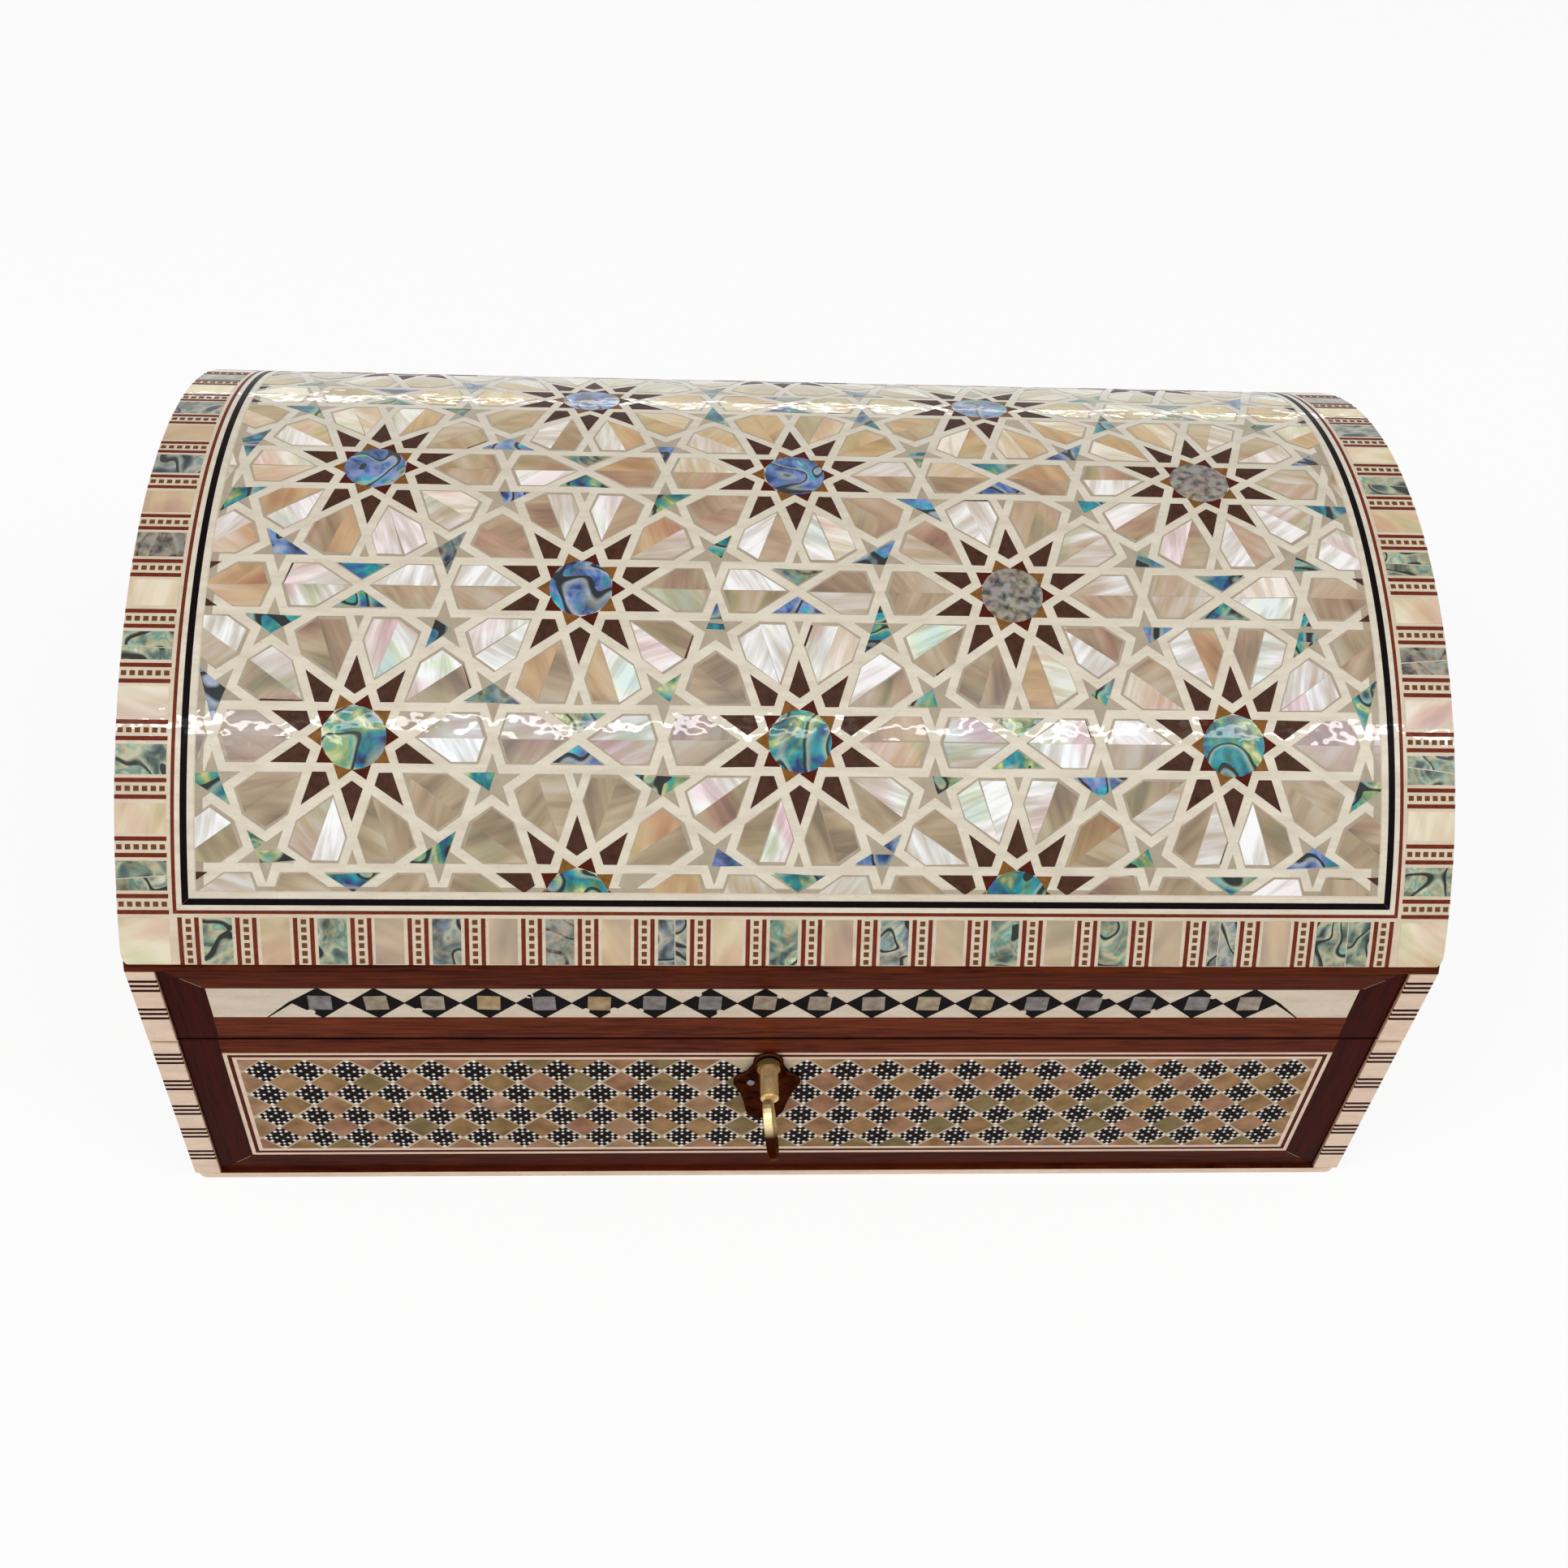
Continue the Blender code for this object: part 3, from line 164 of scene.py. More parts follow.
# Lamps: place, target, width, height and watts
MIDDLE = (0.0, 0.0, 0.08)
LAMPS = {
    "softbox_left": ((-1.3, -0.9, 1.5), MIDDLE, 1.2, 1.2, 12.4),
    "softbox_right": ((1.3, -0.7, 1.4), MIDDLE, 1.2, 1.2, 7.6),
    "tube_front": ((0.0, -0.56, 1.2), MIDDLE, 1.6, 0.035, 4.2),
    "tube_back": ((0.0, 1.6, 0.2), (0.0, 0.0, 0.14), 1.8, 0.05, 1.3)}
FLOOR_REACH = 6.0
FLOOR_GLOW = 0.88
WORLD_SEEN, WORLD_LIGHT = 0.58, 0.42

# Camera fitted to the photograph
CAMERA_LENS, CAMERA_SENSOR = 42.85, 36.0
CAMERA_PLACE = (-0.02916, -0.3531, 0.43307)
CAMERA_PITCH, CAMERA_YAW, CAMERA_ROLL = (math.radians(value) for value in (47.831, 5.267, 4.378))


def linear(hex_code):
    """Linear RGB of an sRGB hex colour."""
    channels = [int(hex_code[index:index + 2], 16) / 255 for index in (0, 2, 4)]
    return tuple(
        value / 12.92 if value <= 0.04045 else ((value + 0.055) / 1.055) ** 2.4
        for value in channels)


def size_property(name, description, millimetres):
    """Length property with its default in millimetres."""
    return bpy.props.FloatProperty(
        name=name, description=description, default=millimetres * MM, min=0.0, unit="LENGTH", precision=5)


def colour_property(name, description, hex_code):
    """Colour property with its default as an sRGB hex value."""
    return bpy.props.FloatVectorProperty(
        name=name, description=description, default=linear(hex_code), size=3, min=0.0, max=1.0,
        subtype="COLOR")


class InlaidBoxSizes(bpy.types.PropertyGroup):
    """Sizes of the inlay that a user would change."""

    star_pitch: size_property("Star pitch", "Distance between stars in one row of the dome", 98.67)
    strap_width: size_property("Strap width", "Width of the bone straps between the cells", 2.05)
    shell_gap: size_property("Shell gap", "Filler showing between a strap and the shell in its cell", 0.32)
    field_margin: size_property("Field margin", "Filler between the straps' ends and the field's frame", 1.7)
    piece_depth: size_property("Piece depth", "Thickness of one inlaid piece", 0.3)
    ground_drop: size_property("Ground drop", "How far the ground lies below the pieces' faces", 0.06)
    block_length: size_property("Block length", "Length of the border's shell blocks across the border", 11.2)
    separator_width: size_property("Separator width", "Width of a ladder separator in the border", 6.0)
    ladder_square: size_property("Ladder square", "Side of a wooden square in a separator", 1.15)
    string_width: size_property("String width", "Width of the brown lines in the border", 0.95)
    mosaic_pitch: size_property("Mosaic pitch", "Distance between the dotted rhombi of the base", 10.07)
    mosaic_joint: size_property("Mosaic joint", "Pale joint round each rhombus of the base", 0.3)
    mosaic_string: size_property("Mosaic string", "Width of one string line round the mosaic", 1.0)
    diamond_pitch: size_property("Diamond pitch", "Distance between the diamonds of the lid's band", 12.8)
    diamond_square: size_property("Diamond square", "Side of the shell square in a diamond", 5.3)
    diamond_joint: size_property("Diamond joint", "Black joint round the band's bone pieces", 0.16)
    strip_line: size_property("Strip line", "Thickness of a dark line in the corner strips", 0.95)
    strip_step: size_property("Strip step", "Distance between lines of one group", 1.75)
    seam_gap: size_property("Seam gap", "How far strips and veneer stop short of the seam", 0.35)
    veneer_depth: size_property("Veneer depth", "How far the mitred veneer stands proud of its board", 0.12)
    pad_pull: size_property("Pad pull", "How far a velvet pad's sides pull in between its corners", 0.4)


class InlaidBoxColours(bpy.types.PropertyGroup):
    """Colours of the materials that a user would change."""

    bone: colour_property("Bone", "Camel bone of the dome's straps and strings", "ddd4c2")
    # Strip bone is a warmer, pinker copy of the bone: painted warm light reflected onto the upright faces
    strip_bone: colour_property("Strip bone", "Rosy bone of corner strips, foot and outer string", "e7cab1")
    # Band bone is a darker, warmer copy of the bone: painted shade and warm light on the lid's upright bands
    band_bone: colour_property("Band bone", "Bone of the diamond bands", "d8c8b2")
    dot_bone: colour_property("Dot bone", "Bleached bone of the mosaic's small dots", "f4e7dc")
    filler: colour_property("Filler", "Resin and bone-dust filler between pieces", "ab9d87")
    pearl_light: colour_property("Pearl light", "Brightest nacre", "dbd7ce")
    pearl_warm: colour_property("Pearl warm", "Beige nacre", "9d8663")
    pearl_deep: colour_property("Pearl deep", "Darkest tan nacre", "806b4d")
    abalone_blue: colour_property("Abalone blue", "Blue of the abalone shell", "34549a")
    abalone_violet: colour_property("Abalone violet", "Violet of the abalone shell", "8a90c4")
    abalone_cyan: colour_property("Abalone cyan", "Cyan of the abalone shell", "2fa9b8")
    abalone_dark: colour_property("Abalone dark", "Growth lines of the abalone shell", "0e1016")
    kite: colour_property("Kite wood", "Dark wood of the kites round each star", "4a3127")
    amber: colour_property("Amber wood", "Amber-coloured star points", "80562a")
    redwood: colour_property("Red wood", "Brown strings and lines of the border", "6e2e1e")
    string: colour_property("String", "Dark string round the mosaic, and star points", "4e1e13")
    ladder: colour_property("Ladder wood", "Brown squares of the border's separators", "6b4528")
    strip_line: colour_property("Strip line", "Dark red lines in the corner strips", "33070a")
    lip: colour_property("Lip", "Wooden lip under the bone of the corner strips", "a9866a")
    joint: colour_property("Joint", "Beige joints of the mosaic", "bfae95")
    ebony: colour_property("Ebony", "Black wood of strings, rhombi and diamonds", "100a0c")
    mahogany: colour_property("Mahogany", "Lacquered mahogany, lit side of the grain", "532310")
    mahogany_dark: colour_property("Mahogany dark", "Dark grain of the mahogany", "34110a")
    poplar: colour_property("Poplar", "Plywood of the bottom", "a98a67")
    velvet: colour_property("Velvet", "Lining", "6d0f1c")
    brass: colour_property("Brass", "Key, hinges and face plate", "f5deaa")
    bronze: colour_property("Bronze", "Keyhole plate", "49291c")
    steel: colour_property("Steel", "Lock case", "8d8b88")
    floor: colour_property("Floor", "Pale floor", "f7f7f6")


WHITE = (1.0, 1.0, 1.0)
LACQUER = {"Coat Weight": 0.75, "Coat Roughness": 0.02, "Coat IOR": 1.4, "Specular IOR Level": 0.15}
RUBBED = {"Coat Weight": 0.04, "Coat Roughness": 0.04, "Coat IOR": 1.4, "Specular IOR Level": 0.02}
MULTIPLIED = {"data_type": "RGBA", "blend_type": "MULTIPLY"}


def feed(tree, node, links):
    """Feed a node's inputs from values, sockets or other nodes."""
    for key, value in links.items():
        if isinstance(key, int):
            socket = node.inputs[key]
        else:
            socket = next(item for item in node.inputs if item.name == key and item.enabled)
        if isinstance(value, bpy.types.Node):
            value = next(item for item in value.outputs if item.enabled)
        if isinstance(value, bpy.types.NodeSocket):
            tree.links.new(value, socket)
        else:
            socket.default_value = value


def add_node(tree, kind, links=None, stops=None, **settings):
    """Add a node, set its properties and its colour stops, and feed its inputs."""
    node = tree.nodes.new(kind)
    for name, value in settings.items():
        setattr(node, name, value)
    if stops:
        elements = node.color_ramp.elements
        elements.remove(elements[-1])
        for index, (position, colour) in enumerate(stops):
            element = elements.new(position) if index else elements[0]
            element.position = position
            element.color = (*(linear(colour) if isinstance(colour, str) else colour), 1.0)
    feed(tree, node, links or {})
    return node


def per_mm(millimetres):
    """Noise scale whose features are about this many millimetres across."""
    return 1.0 / (millimetres * MM)


def piece_coordinates(tree):
    """Flat coordinates of an inlaid piece, turned by the piece's own angle, and its tone."""
    tone = add_node(tree, "ShaderNodeAttribute", attribute_name="tone").outputs["Fac"]
    turn = add_node(tree, "ShaderNodeAttribute", attribute_name="turn").outputs["Fac"]
    flat = add_node(tree, "ShaderNodeUVMap", uv_map="inlay")
    turned = add_node(tree, "ShaderNodeVectorRotate", {"Vector": flat, "Angle": turn},
                      rotation_type="Z_AXIS")
    return turned, tone


def colour_of(name):
    """Colour that the user chose."""
    return tuple(getattr(bpy.context.scene.inlaid_box_colours, name))


def shaded(colour, share):
    """Colour made darker or lighter by a share."""
    return tuple(min(1.0, channel * share) for channel in colour)


def wired(material, links):
    """The material with its Principled shader fed."""
    tree = material.node_tree
    feed(tree, tree.nodes["Principled BSDF"], links)
    return material


def start_material(name, values):
    """New material with values set on its Principled shader, and its tree."""
    material = bpy.data.materials.new(name)
    material.use_nodes = True
    return wired(material, values), material.node_tree


def lacquered(material, colour, millimetres=8.0, strength=0.7):
    """The material with its colour and a swell in its clear coat, as over hand-laid pieces."""
    tree = material.node_tree
    place = add_node(tree, "ShaderNodeTexCoord").outputs["Object"]
    swell = add_node(tree, "ShaderNodeTexNoise", {
        "Vector": place, "Scale": per_mm(millimetres), "Detail": 2.0})
    ripple = add_node(tree, "ShaderNodeBump", {
        "Strength": strength, "Distance": 0.4 * MM, "Height": swell})
    return wired(material, {"Base Color": colour, "Coat Normal": ripple})


def make_bone(name, colour_name):
    """Camel bone, sawn into strips and polished under lacquer: cream with faint long streaks and pores."""
    light = colour_of(colour_name)
    shade = tuple(channel * share for channel, share in zip(light, (0.84, 0.81, 0.77)))
    material, tree = start_material(name, {"Roughness": 0.38, **LACQUER})
    place = add_node(tree, "ShaderNodeTexCoord").outputs["Object"]
    long_way = add_node(tree, "ShaderNodeMapping", {"Vector": place, "Scale": (0.25, 1.0, 1.0)})
    streak = add_node(tree, "ShaderNodeTexNoise", {
        "Vector": long_way, "Scale": per_mm(3.0), "Detail": 5.0, "Roughness": 0.65})
    body = add_node(tree, "ShaderNodeValToRGB", {"Fac": streak}, stops=[(0.3, shade), (0.62, light)])
    pores = add_node(tree, "ShaderNodeTexNoise", {"Vector": place, "Scale": per_mm(0.7), "Detail": 2.0})
    spots = add_node(tree, "ShaderNodeValToRGB", {"Fac": pores}, stops=[(0.28, "b09b78"), (0.36, WHITE)])
    return lacquered(material, add_node(
        tree, "ShaderNodeMix", {"Factor": 0.22, "A": body, "B": spots}, **MULTIPLIED))


def make_filler():
    """Resin with bone dust, poured round the pieces and sanded flush: a duller, greyer cream."""
    filler = colour_of("filler")
    material, tree = start_material("bone_dust_filler", {"Roughness": 0.45, **LACQUER})
    place = add_node(tree, "ShaderNodeTexCoord").outputs["Object"]
    cloud = add_node(tree, "ShaderNodeTexNoise", {
        "Vector": place, "Scale": per_mm(7.0), "Detail": 6.0, "Roughness": 0.7})
    return lacquered(material, add_node(tree, "ShaderNodeValToRGB", {"Fac": cloud}, stops=[
        (0.3, shaded(filler, 0.82)), (0.55, filler), (0.72, shaded(filler, 1.12))]))


def make_pearl(name, stops, silver, flame, flash):
    """Mother-of-pearl, sawn from shell: each piece tan or silver, with slow layers across it, fine
    flame along the silver pieces, and a pink or green flash in some."""
    material, tree = start_material(name, {
        "Roughness": 0.26, "Thin Film Thickness": 420.0, "Thin Film IOR": 1.4, **LACQUER})
    turned, tone = piece_coordinates(tree)
    phase = add_node(tree, "ShaderNodeMath", {0: tone, 1: 40.0}, operation="MULTIPLY")

    def layers(along, millimetres, detail):
        """Cloudy value drawn out along the piece."""
        long_way = add_node(tree, "ShaderNodeMapping", {"Vector": turned, "Scale": (along, 1.0, 1.0)})
        return add_node(tree, "ShaderNodeTexNoise", {
            "Vector": long_way, "W": phase, "Scale": per_mm(millimetres), "Detail": detail,
            "Roughness": 0.55, "Distortion": 0.4}, noise_dimensions="4D")

    kind = add_node(tree, "ShaderNodeMapRange", {"Value": tone, "From Min": 0.25, "From Max": 0.75},
                    interpolation_type="SMOOTHSTEP")
    grade = add_node(tree, "ShaderNodeMath", {0: kind, 1: silver}, operation="MULTIPLY")
    slow = add_node(tree, "ShaderNodeMath", {0: layers(0.35, 9.0, 2.0), 1: 0.85, 2: grade},
                    operation="MULTIPLY_ADD")
    # Flame is about 1 mm apart and is drawn 2 mm apart to show
    fine = add_node(tree, "ShaderNodeMath", {0: layers(0.12, 2.0, 3.0), 1: 0.5}, operation="SUBTRACT")
    depth = add_node(tree, "ShaderNodeMapRange", {"Value": kind, "To Min": flame * 0.35, "To Max": flame})
    level = add_node(tree, "ShaderNodeMath", {0: fine, 1: depth, 2: slow}, operation="MULTIPLY_ADD")
    body = add_node(tree, "ShaderNodeValToRGB", {"Fac": level}, stops=stops)
    hue = add_node(tree, "ShaderNodeValToRGB", {"Fac": layers(0.7, 11.0, 1.0)}, stops=[
        (0.32, "ecbcc8"), (0.43, "f7e0dc"), (0.49, WHITE), (0.53, WHITE), (0.59, "dcedc2"),
        (0.67, "c2e7e0")])
    spread = add_node(tree, "ShaderNodeMath", {0: tone, 1: 13.7}, operation="MULTIPLY")
    chance = add_node(tree, "ShaderNodeMath", {0: spread}, operation="FRACT")
    flashing = add_node(tree, "ShaderNodeMapRange", {
        "Value": chance, "From Min": 0.2, "From Max": 0.95, "To Max": flash})
    return lacquered(material, add_node(
        tree, "ShaderNodeMix", {"Factor": flashing, "A": body, "B": hue}, **MULTIPLIED))


def make_dome_pearl():
    """Shell of the star pattern's cells, from tan to silver-white."""
    return make_pearl("mother_of_pearl", [
        (0.26, colour_of("pearl_deep")), (0.38, colour_of("pearl_warm")), (0.50, "b6a07c"),
        (0.64, "c3b6a0"), (0.82, colour_of("pearl_light")), (0.98, "fafaf7")], 0.46, 0.95, 0.75)


def make_golden_pearl():
    """Golden shell, used more toward the crown, where it is partly painted warm light from behind: honey to
    cream.
    """
    return make_pearl("golden_mother_of_pearl", [
        (0.26, "8f6c42"), (0.38, "ae8a5a"), (0.50, "c5a474"), (0.64, "cdb48e"), (0.82, "dbcdb6"),
        (0.98, "f4ede1")], 0.46, 0.9, 0.75)


def make_border_pearl():
    """Calmer shell of the border's blocks: grey-beige to cream with little flame."""
    return make_pearl("beige_mother_of_pearl", [
        (0.26, "9c8b73"), (0.42, "b7a283"), (0.58, "cfb78d"), (0.80, "e6dcbe")], 0.34, 0.3, 0.5)


def make_small_pearl(name, stops, millimetres):
    """Small shell pieces glued on dark wood, which shows through: dull nacre in soft clouds."""
    material, tree = start_material(name, {"Roughness": 0.3, **RUBBED})
    turned, tone = piece_coordinates(tree)
    body = add_node(tree, "ShaderNodeValToRGB", {"Fac": tone}, stops=stops)
    cloud = add_node(tree, "ShaderNodeTexNoise", {
        "Vector": turned, "Scale": per_mm(millimetres), "Detail": 3.0})
    shade = add_node(tree, "ShaderNodeValToRGB", {"Fac": cloud}, stops=[(0.3, "b9b0a4"), (0.7, WHITE)])
    return lacquered(material, add_node(
        tree, "ShaderNodeMix", {"Factor": 0.9, "A": body, "B": shade}, **MULTIPLIED))


def make_mosaic_pearl():
    """Shell rhombi of the base: olive, tan, brown and rose."""
    return make_small_pearl("smoked_mother_of_pearl", [
        (0.0, "8c7c56"), (0.25, "a28057"), (0.5, "ab8660"), (0.75, "a97d62"), (1.0, "b49274")], 6.0)


def make_band_pearl():
    """Shell squares of the diamond bands: grey, beige and tan."""
    return make_small_pearl("grey_mother_of_pearl", [
        (0.0, "8c8789"), (0.28, "8f8a8c"), (0.36, "b3a385"), (0.58, "b79b6f"), (0.72, "a3968a"),
        (1.0, "bbb3a1")], 2.5)


def make_abalone(name, shell, blue_stops, green_stops):
    """Abalone shell, ground thin: lobes of colour with pale and dark growth lines between them."""
    material, tree = start_material(name, {"Roughness": 0.22, **LACQUER, "Coat Weight": 0.4})
    turned, tone = piece_coordinates(tree)
    phase = add_node(tree, "ShaderNodeMath", {0: tone, 1: 60.0}, operation="MULTIPLY")

    def clouds(millimetres, detail, distortion, extra):
        """Cloudy value of its own for every piece."""
        apart = add_node(tree, "ShaderNodeMath", {0: phase, 1: extra}, operation="ADD")
        return add_node(tree, "ShaderNodeTexNoise", {
            "Vector": turned, "W": apart, "Scale": per_mm(millimetres), "Detail": detail,
            "Distortion": distortion}, noise_dimensions="4D")

    lobes = clouds(8.0, 2.5, 1.4, 0.0)
    blue = add_node(tree, "ShaderNodeValToRGB", {"Fac": lobes}, stops=blue_stops)
    green = add_node(tree, "ShaderNodeValToRGB", {"Fac": lobes}, stops=green_stops)
    greenish = add_node(tree, "ShaderNodeMapRange", {"Value": tone, "From Min": 0.44, "From Max": 0.46})
    body = add_node(tree, "ShaderNodeMix", {"Factor": greenish, "A": blue, "B": green}, data_type="RGBA")
    depth = add_node(tree, "ShaderNodeValToRGB", {"Fac": clouds(4.5, 3.0, 0.6, 7.0)}, stops=[
        (0.32, "5a5a60"), (0.46, "c8c8ca"), (0.58, WHITE)])
    dimmed = add_node(tree, "ShaderNodeMix", {"Factor": 0.8, "A": body, "B": depth}, **MULTIPLIED)
    growth = add_node(tree, "ShaderNodeMath", {0: clouds(13.0, 1.0, 0.4, 19.0), 1: shell, 2: phase},
                      operation="MULTIPLY_ADD")
    layer = add_node(tree, "ShaderNodeMath", {0: growth}, operation="FRACT")
    pale = add_node(tree, "ShaderNodeMapRange", {
        "Value": layer, "From Min": 0.46, "From Max": 0.24, "To Max": 0.4})
    lit = add_node(tree, "ShaderNodeMix", {
        "Factor": pale, "A": dimmed, "B": (*linear("cdd3b4"), 1.0)}, data_type="RGBA")
    line = add_node(tree, "ShaderNodeMapRange", {
        "Value": layer, "From Min": 0.22, "From Max": 0.13, "To Max": 0.96})
    lined = add_node(tree, "ShaderNodeMix", {
        "Factor": line, "A": lit, "B": (*colour_of("abalone_dark"), 1.0)}, data_type="RGBA")
    old_shell = add_node(tree, "ShaderNodeValToRGB", {"Fac": clouds(2.2, 5.0, 0.0, 31.0)}, stops=[
        (0.36, "33282c"), (0.46, "7a6a63"), (0.56, "a39384"), (0.70, "8d97a4")])
    grey = add_node(tree, "ShaderNodeMapRange", {
        "Value": tone, "From Min": 0.84, "From Max": 0.92, "To Max": 0.85})
    return lacquered(material, add_node(
        tree, "ShaderNodeMix", {"Factor": grey, "A": lined, "B": old_shell}, data_type="RGBA"))


def make_star_abalone():
    """Bright abalone of the discs and triangles: blue pieces and green ones."""
    blue, cyan, violet = (colour_of(f"abalone_{name}") for name in ("blue", "cyan", "violet"))
    return make_abalone("abalone_shell", 6.0, [
        (0.28, "14203f"), (0.38, blue), (0.45, "5f83b8"), (0.51, violet), (0.56, "5f8fc0"), (0.62, cyan),
        (0.70, "9fc6c6"), (0.78, "dfe6e0")], [
        (0.28, "12303a"), (0.36, blue), (0.42, "2b7a84"), (0.48, "2696a4"), (0.53, "4f9a82"),
        (0.59, "94ab70"), (0.65, "cfcf98"), (0.71, "4a9486"), (0.78, blue)])


def make_border_abalone():
    """Older abalone of the border: slate, grey-green and beige."""
    return make_abalone("slate_abalone_shell", 7.0, [
        (0.30, "2a3036"), (0.40, "58646c"), (0.47, "848e96"), (0.53, "b3ac98"), (0.60, "6f8f92"),
        (0.70, "c9c4aa")], [
        (0.30, "30383a"), (0.40, "5d736c"), (0.47, "8f9f88"), (0.53, "bdb08c"), (0.60, "689a8c"),
        (0.70, "dbd6b6")])


def make_plain_wood(name, colour_name, darkest, millimetres):
    """Small dyed wood pieces under lacquer: one colour with fine grain that gives it a slight mottle."""
    colour = colour_of(colour_name)
    material, tree = start_material(name, {"Roughness": 0.35, **RUBBED})
    place = add_node(tree, "ShaderNodeTexCoord").outputs["Object"]
    grain = add_node(tree, "ShaderNodeTexNoise", {
        "Vector": place, "Scale": per_mm(millimetres), "Detail": 5.0, "Roughness": 0.7})
    return lacquered(material, add_node(tree, "ShaderNodeValToRGB", {"Fac": grain}, stops=[
        (0.3, shaded(colour, darkest)), (0.5, colour), (0.72, shaded(colour, 1.25))]))


def make_mahogany(name, stretch, on_veneer):
    """Lacquered mahogany: dark red-brown with long fine grain, ribbon figure and pores, high gloss."""
    material, tree = start_material(name, {"Roughness": 0.32, **RUBBED})
    if on_veneer:
        place, tone = piece_coordinates(tree)
    else:
        place = add_node(tree, "ShaderNodeTexCoord").outputs["Object"]
    along = add_node(tree, "ShaderNodeMapping", {"Vector": place, "Scale": stretch})
    grain = add_node(tree, "ShaderNodeTexNoise", {
        "Vector": along, "Scale": per_mm(0.8), "Detail": 6.0, "Roughness": 0.7, "Distortion": 0.3})
    figure = add_node(tree, "ShaderNodeTexNoise", {"Vector": along, "Scale": per_mm(9.0), "Detail": 2.0})
    level = add_node(tree, "ShaderNodeMath", {0: figure, 1: 0.4, 2: grain}, operation="MULTIPLY_ADD")
    full = 1.4 if on_veneer else 1.0
    colour = add_node(tree, "ShaderNodeValToRGB", {"Fac": level}, stops=[
        (0.54, shaded(colour_of("mahogany_dark"), full)), (0.70, shaded(colour_of("mahogany"), full)),
        (0.88, shaded(colour_of("mahogany"), 1.5 * full))])
    if on_veneer:
        # Stiles are darker and redder than the rails, partly from their veneer and partly as painted shade
        # for light falling across their upright grain; tone 0 is the painted shadow along the seam
        shade = add_node(tree, "ShaderNodeValToRGB", {"Fac": tone}, stops=[
            (0.0, (0.26, 0.10, 0.05)), (0.1, (0.30, 0.10, 0.05)), (0.5, (0.52, 0.43, 0.40)),
            (0.68, (0.70, 0.63, 0.59)), (0.86, (0.87, 0.80, 0.74)), (1.0, WHITE)])
        colour = add_node(tree, "ShaderNodeMix", {"Factor": 1.0, "A": colour, "B": shade}, **MULTIPLIED)
    return lacquered(material, colour, 6.0, 0.3)


def make_poplar():
    """Bare poplar plywood under the box: pale tan, soft straight grain, no finish."""
    poplar = colour_of("poplar")
    material, tree = start_material("poplar_plywood", {"Roughness": 0.7})
    place = add_node(tree, "ShaderNodeTexCoord").outputs["Object"]
    along = add_node(tree, "ShaderNodeMapping", {"Vector": place, "Scale": (0.06, 1.0, 1.0)})
    grain = add_node(tree, "ShaderNodeTexNoise", {
        "Vector": along, "Scale": per_mm(2.5), "Detail": 6.0, "Roughness": 0.6})
    return wired(material, {"Base Color": add_node(tree, "ShaderNodeValToRGB", {"Fac": grain}, stops=[
        (0.35, shaded(poplar, 0.7)), (0.65, poplar)])})


def make_velvet():
    """Cotton velvet on card: deep red pile that lightens where it is seen edge-on, with brushed patches."""
    velvet = colour_of("velvet")
    material, tree = start_material("cotton_velvet", {
        "Roughness": 0.95, "Sheen Weight": 0.8, "Sheen Roughness": 0.35,
        "Sheen Tint": (*linear("e38a8a"), 1.0)})
    place = add_node(tree, "ShaderNodeTexCoord").outputs["Object"]
    brushed = add_node(tree, "ShaderNodeTexNoise", {"Vector": place, "Scale": per_mm(22.0), "Detail": 3.0})
    body = add_node(tree, "ShaderNodeValToRGB", {"Fac": brushed}, stops=[
        (0.35, shaded(velvet, 0.55)), (0.65, velvet)])
    # Pile is finer than a pixel, so its tufts are drawn 0.6 mm across to show
    pile = add_node(tree, "ShaderNodeTexNoise", {"Vector": place, "Scale": per_mm(0.6), "Detail": 1.0})
    bump = add_node(tree, "ShaderNodeBump", {"Strength": 0.5, "Distance": 0.2 * MM, "Height": pile})
    return wired(material, {"Base Color": body, "Normal": bump})


def make_metal(name, colour_name, tarnish, roughness, millimetres, edge="ffffff"):
    """Cast or rolled metal, worn by hands: bright where rubbed, duller and darker in patches."""
    material, tree = start_material(name, {"Metallic": 1.0, "Specular Tint": (*linear(edge), 1.0)})
    place = add_node(tree, "ShaderNodeTexCoord").outputs["Object"]
    wear = add_node(tree, "ShaderNodeTexNoise", {
        "Vector": place, "Scale": per_mm(millimetres), "Detail": 5.0, "Roughness": 0.65})
    body = add_node(tree, "ShaderNodeValToRGB", {"Fac": wear}, stops=[
        (0.32, tarnish), (0.58, colour_of(colour_name))])
    dull = add_node(tree, "ShaderNodeMapRange", {
        "Value": wear, "From Min": 0.3, "From Max": 0.7, "To Min": roughness + 0.2, "To Max": roughness})
    pits = add_node(tree, "ShaderNodeTexNoise", {"Vector": place, "Scale": per_mm(0.8), "Detail": 3.0})
    bump = add_node(tree, "ShaderNodeBump", {"Strength": 0.25, "Distance": 0.08 * MM, "Height": pits})
    return wired(material, {"Base Color": body, "Roughness": dull, "Normal": bump})


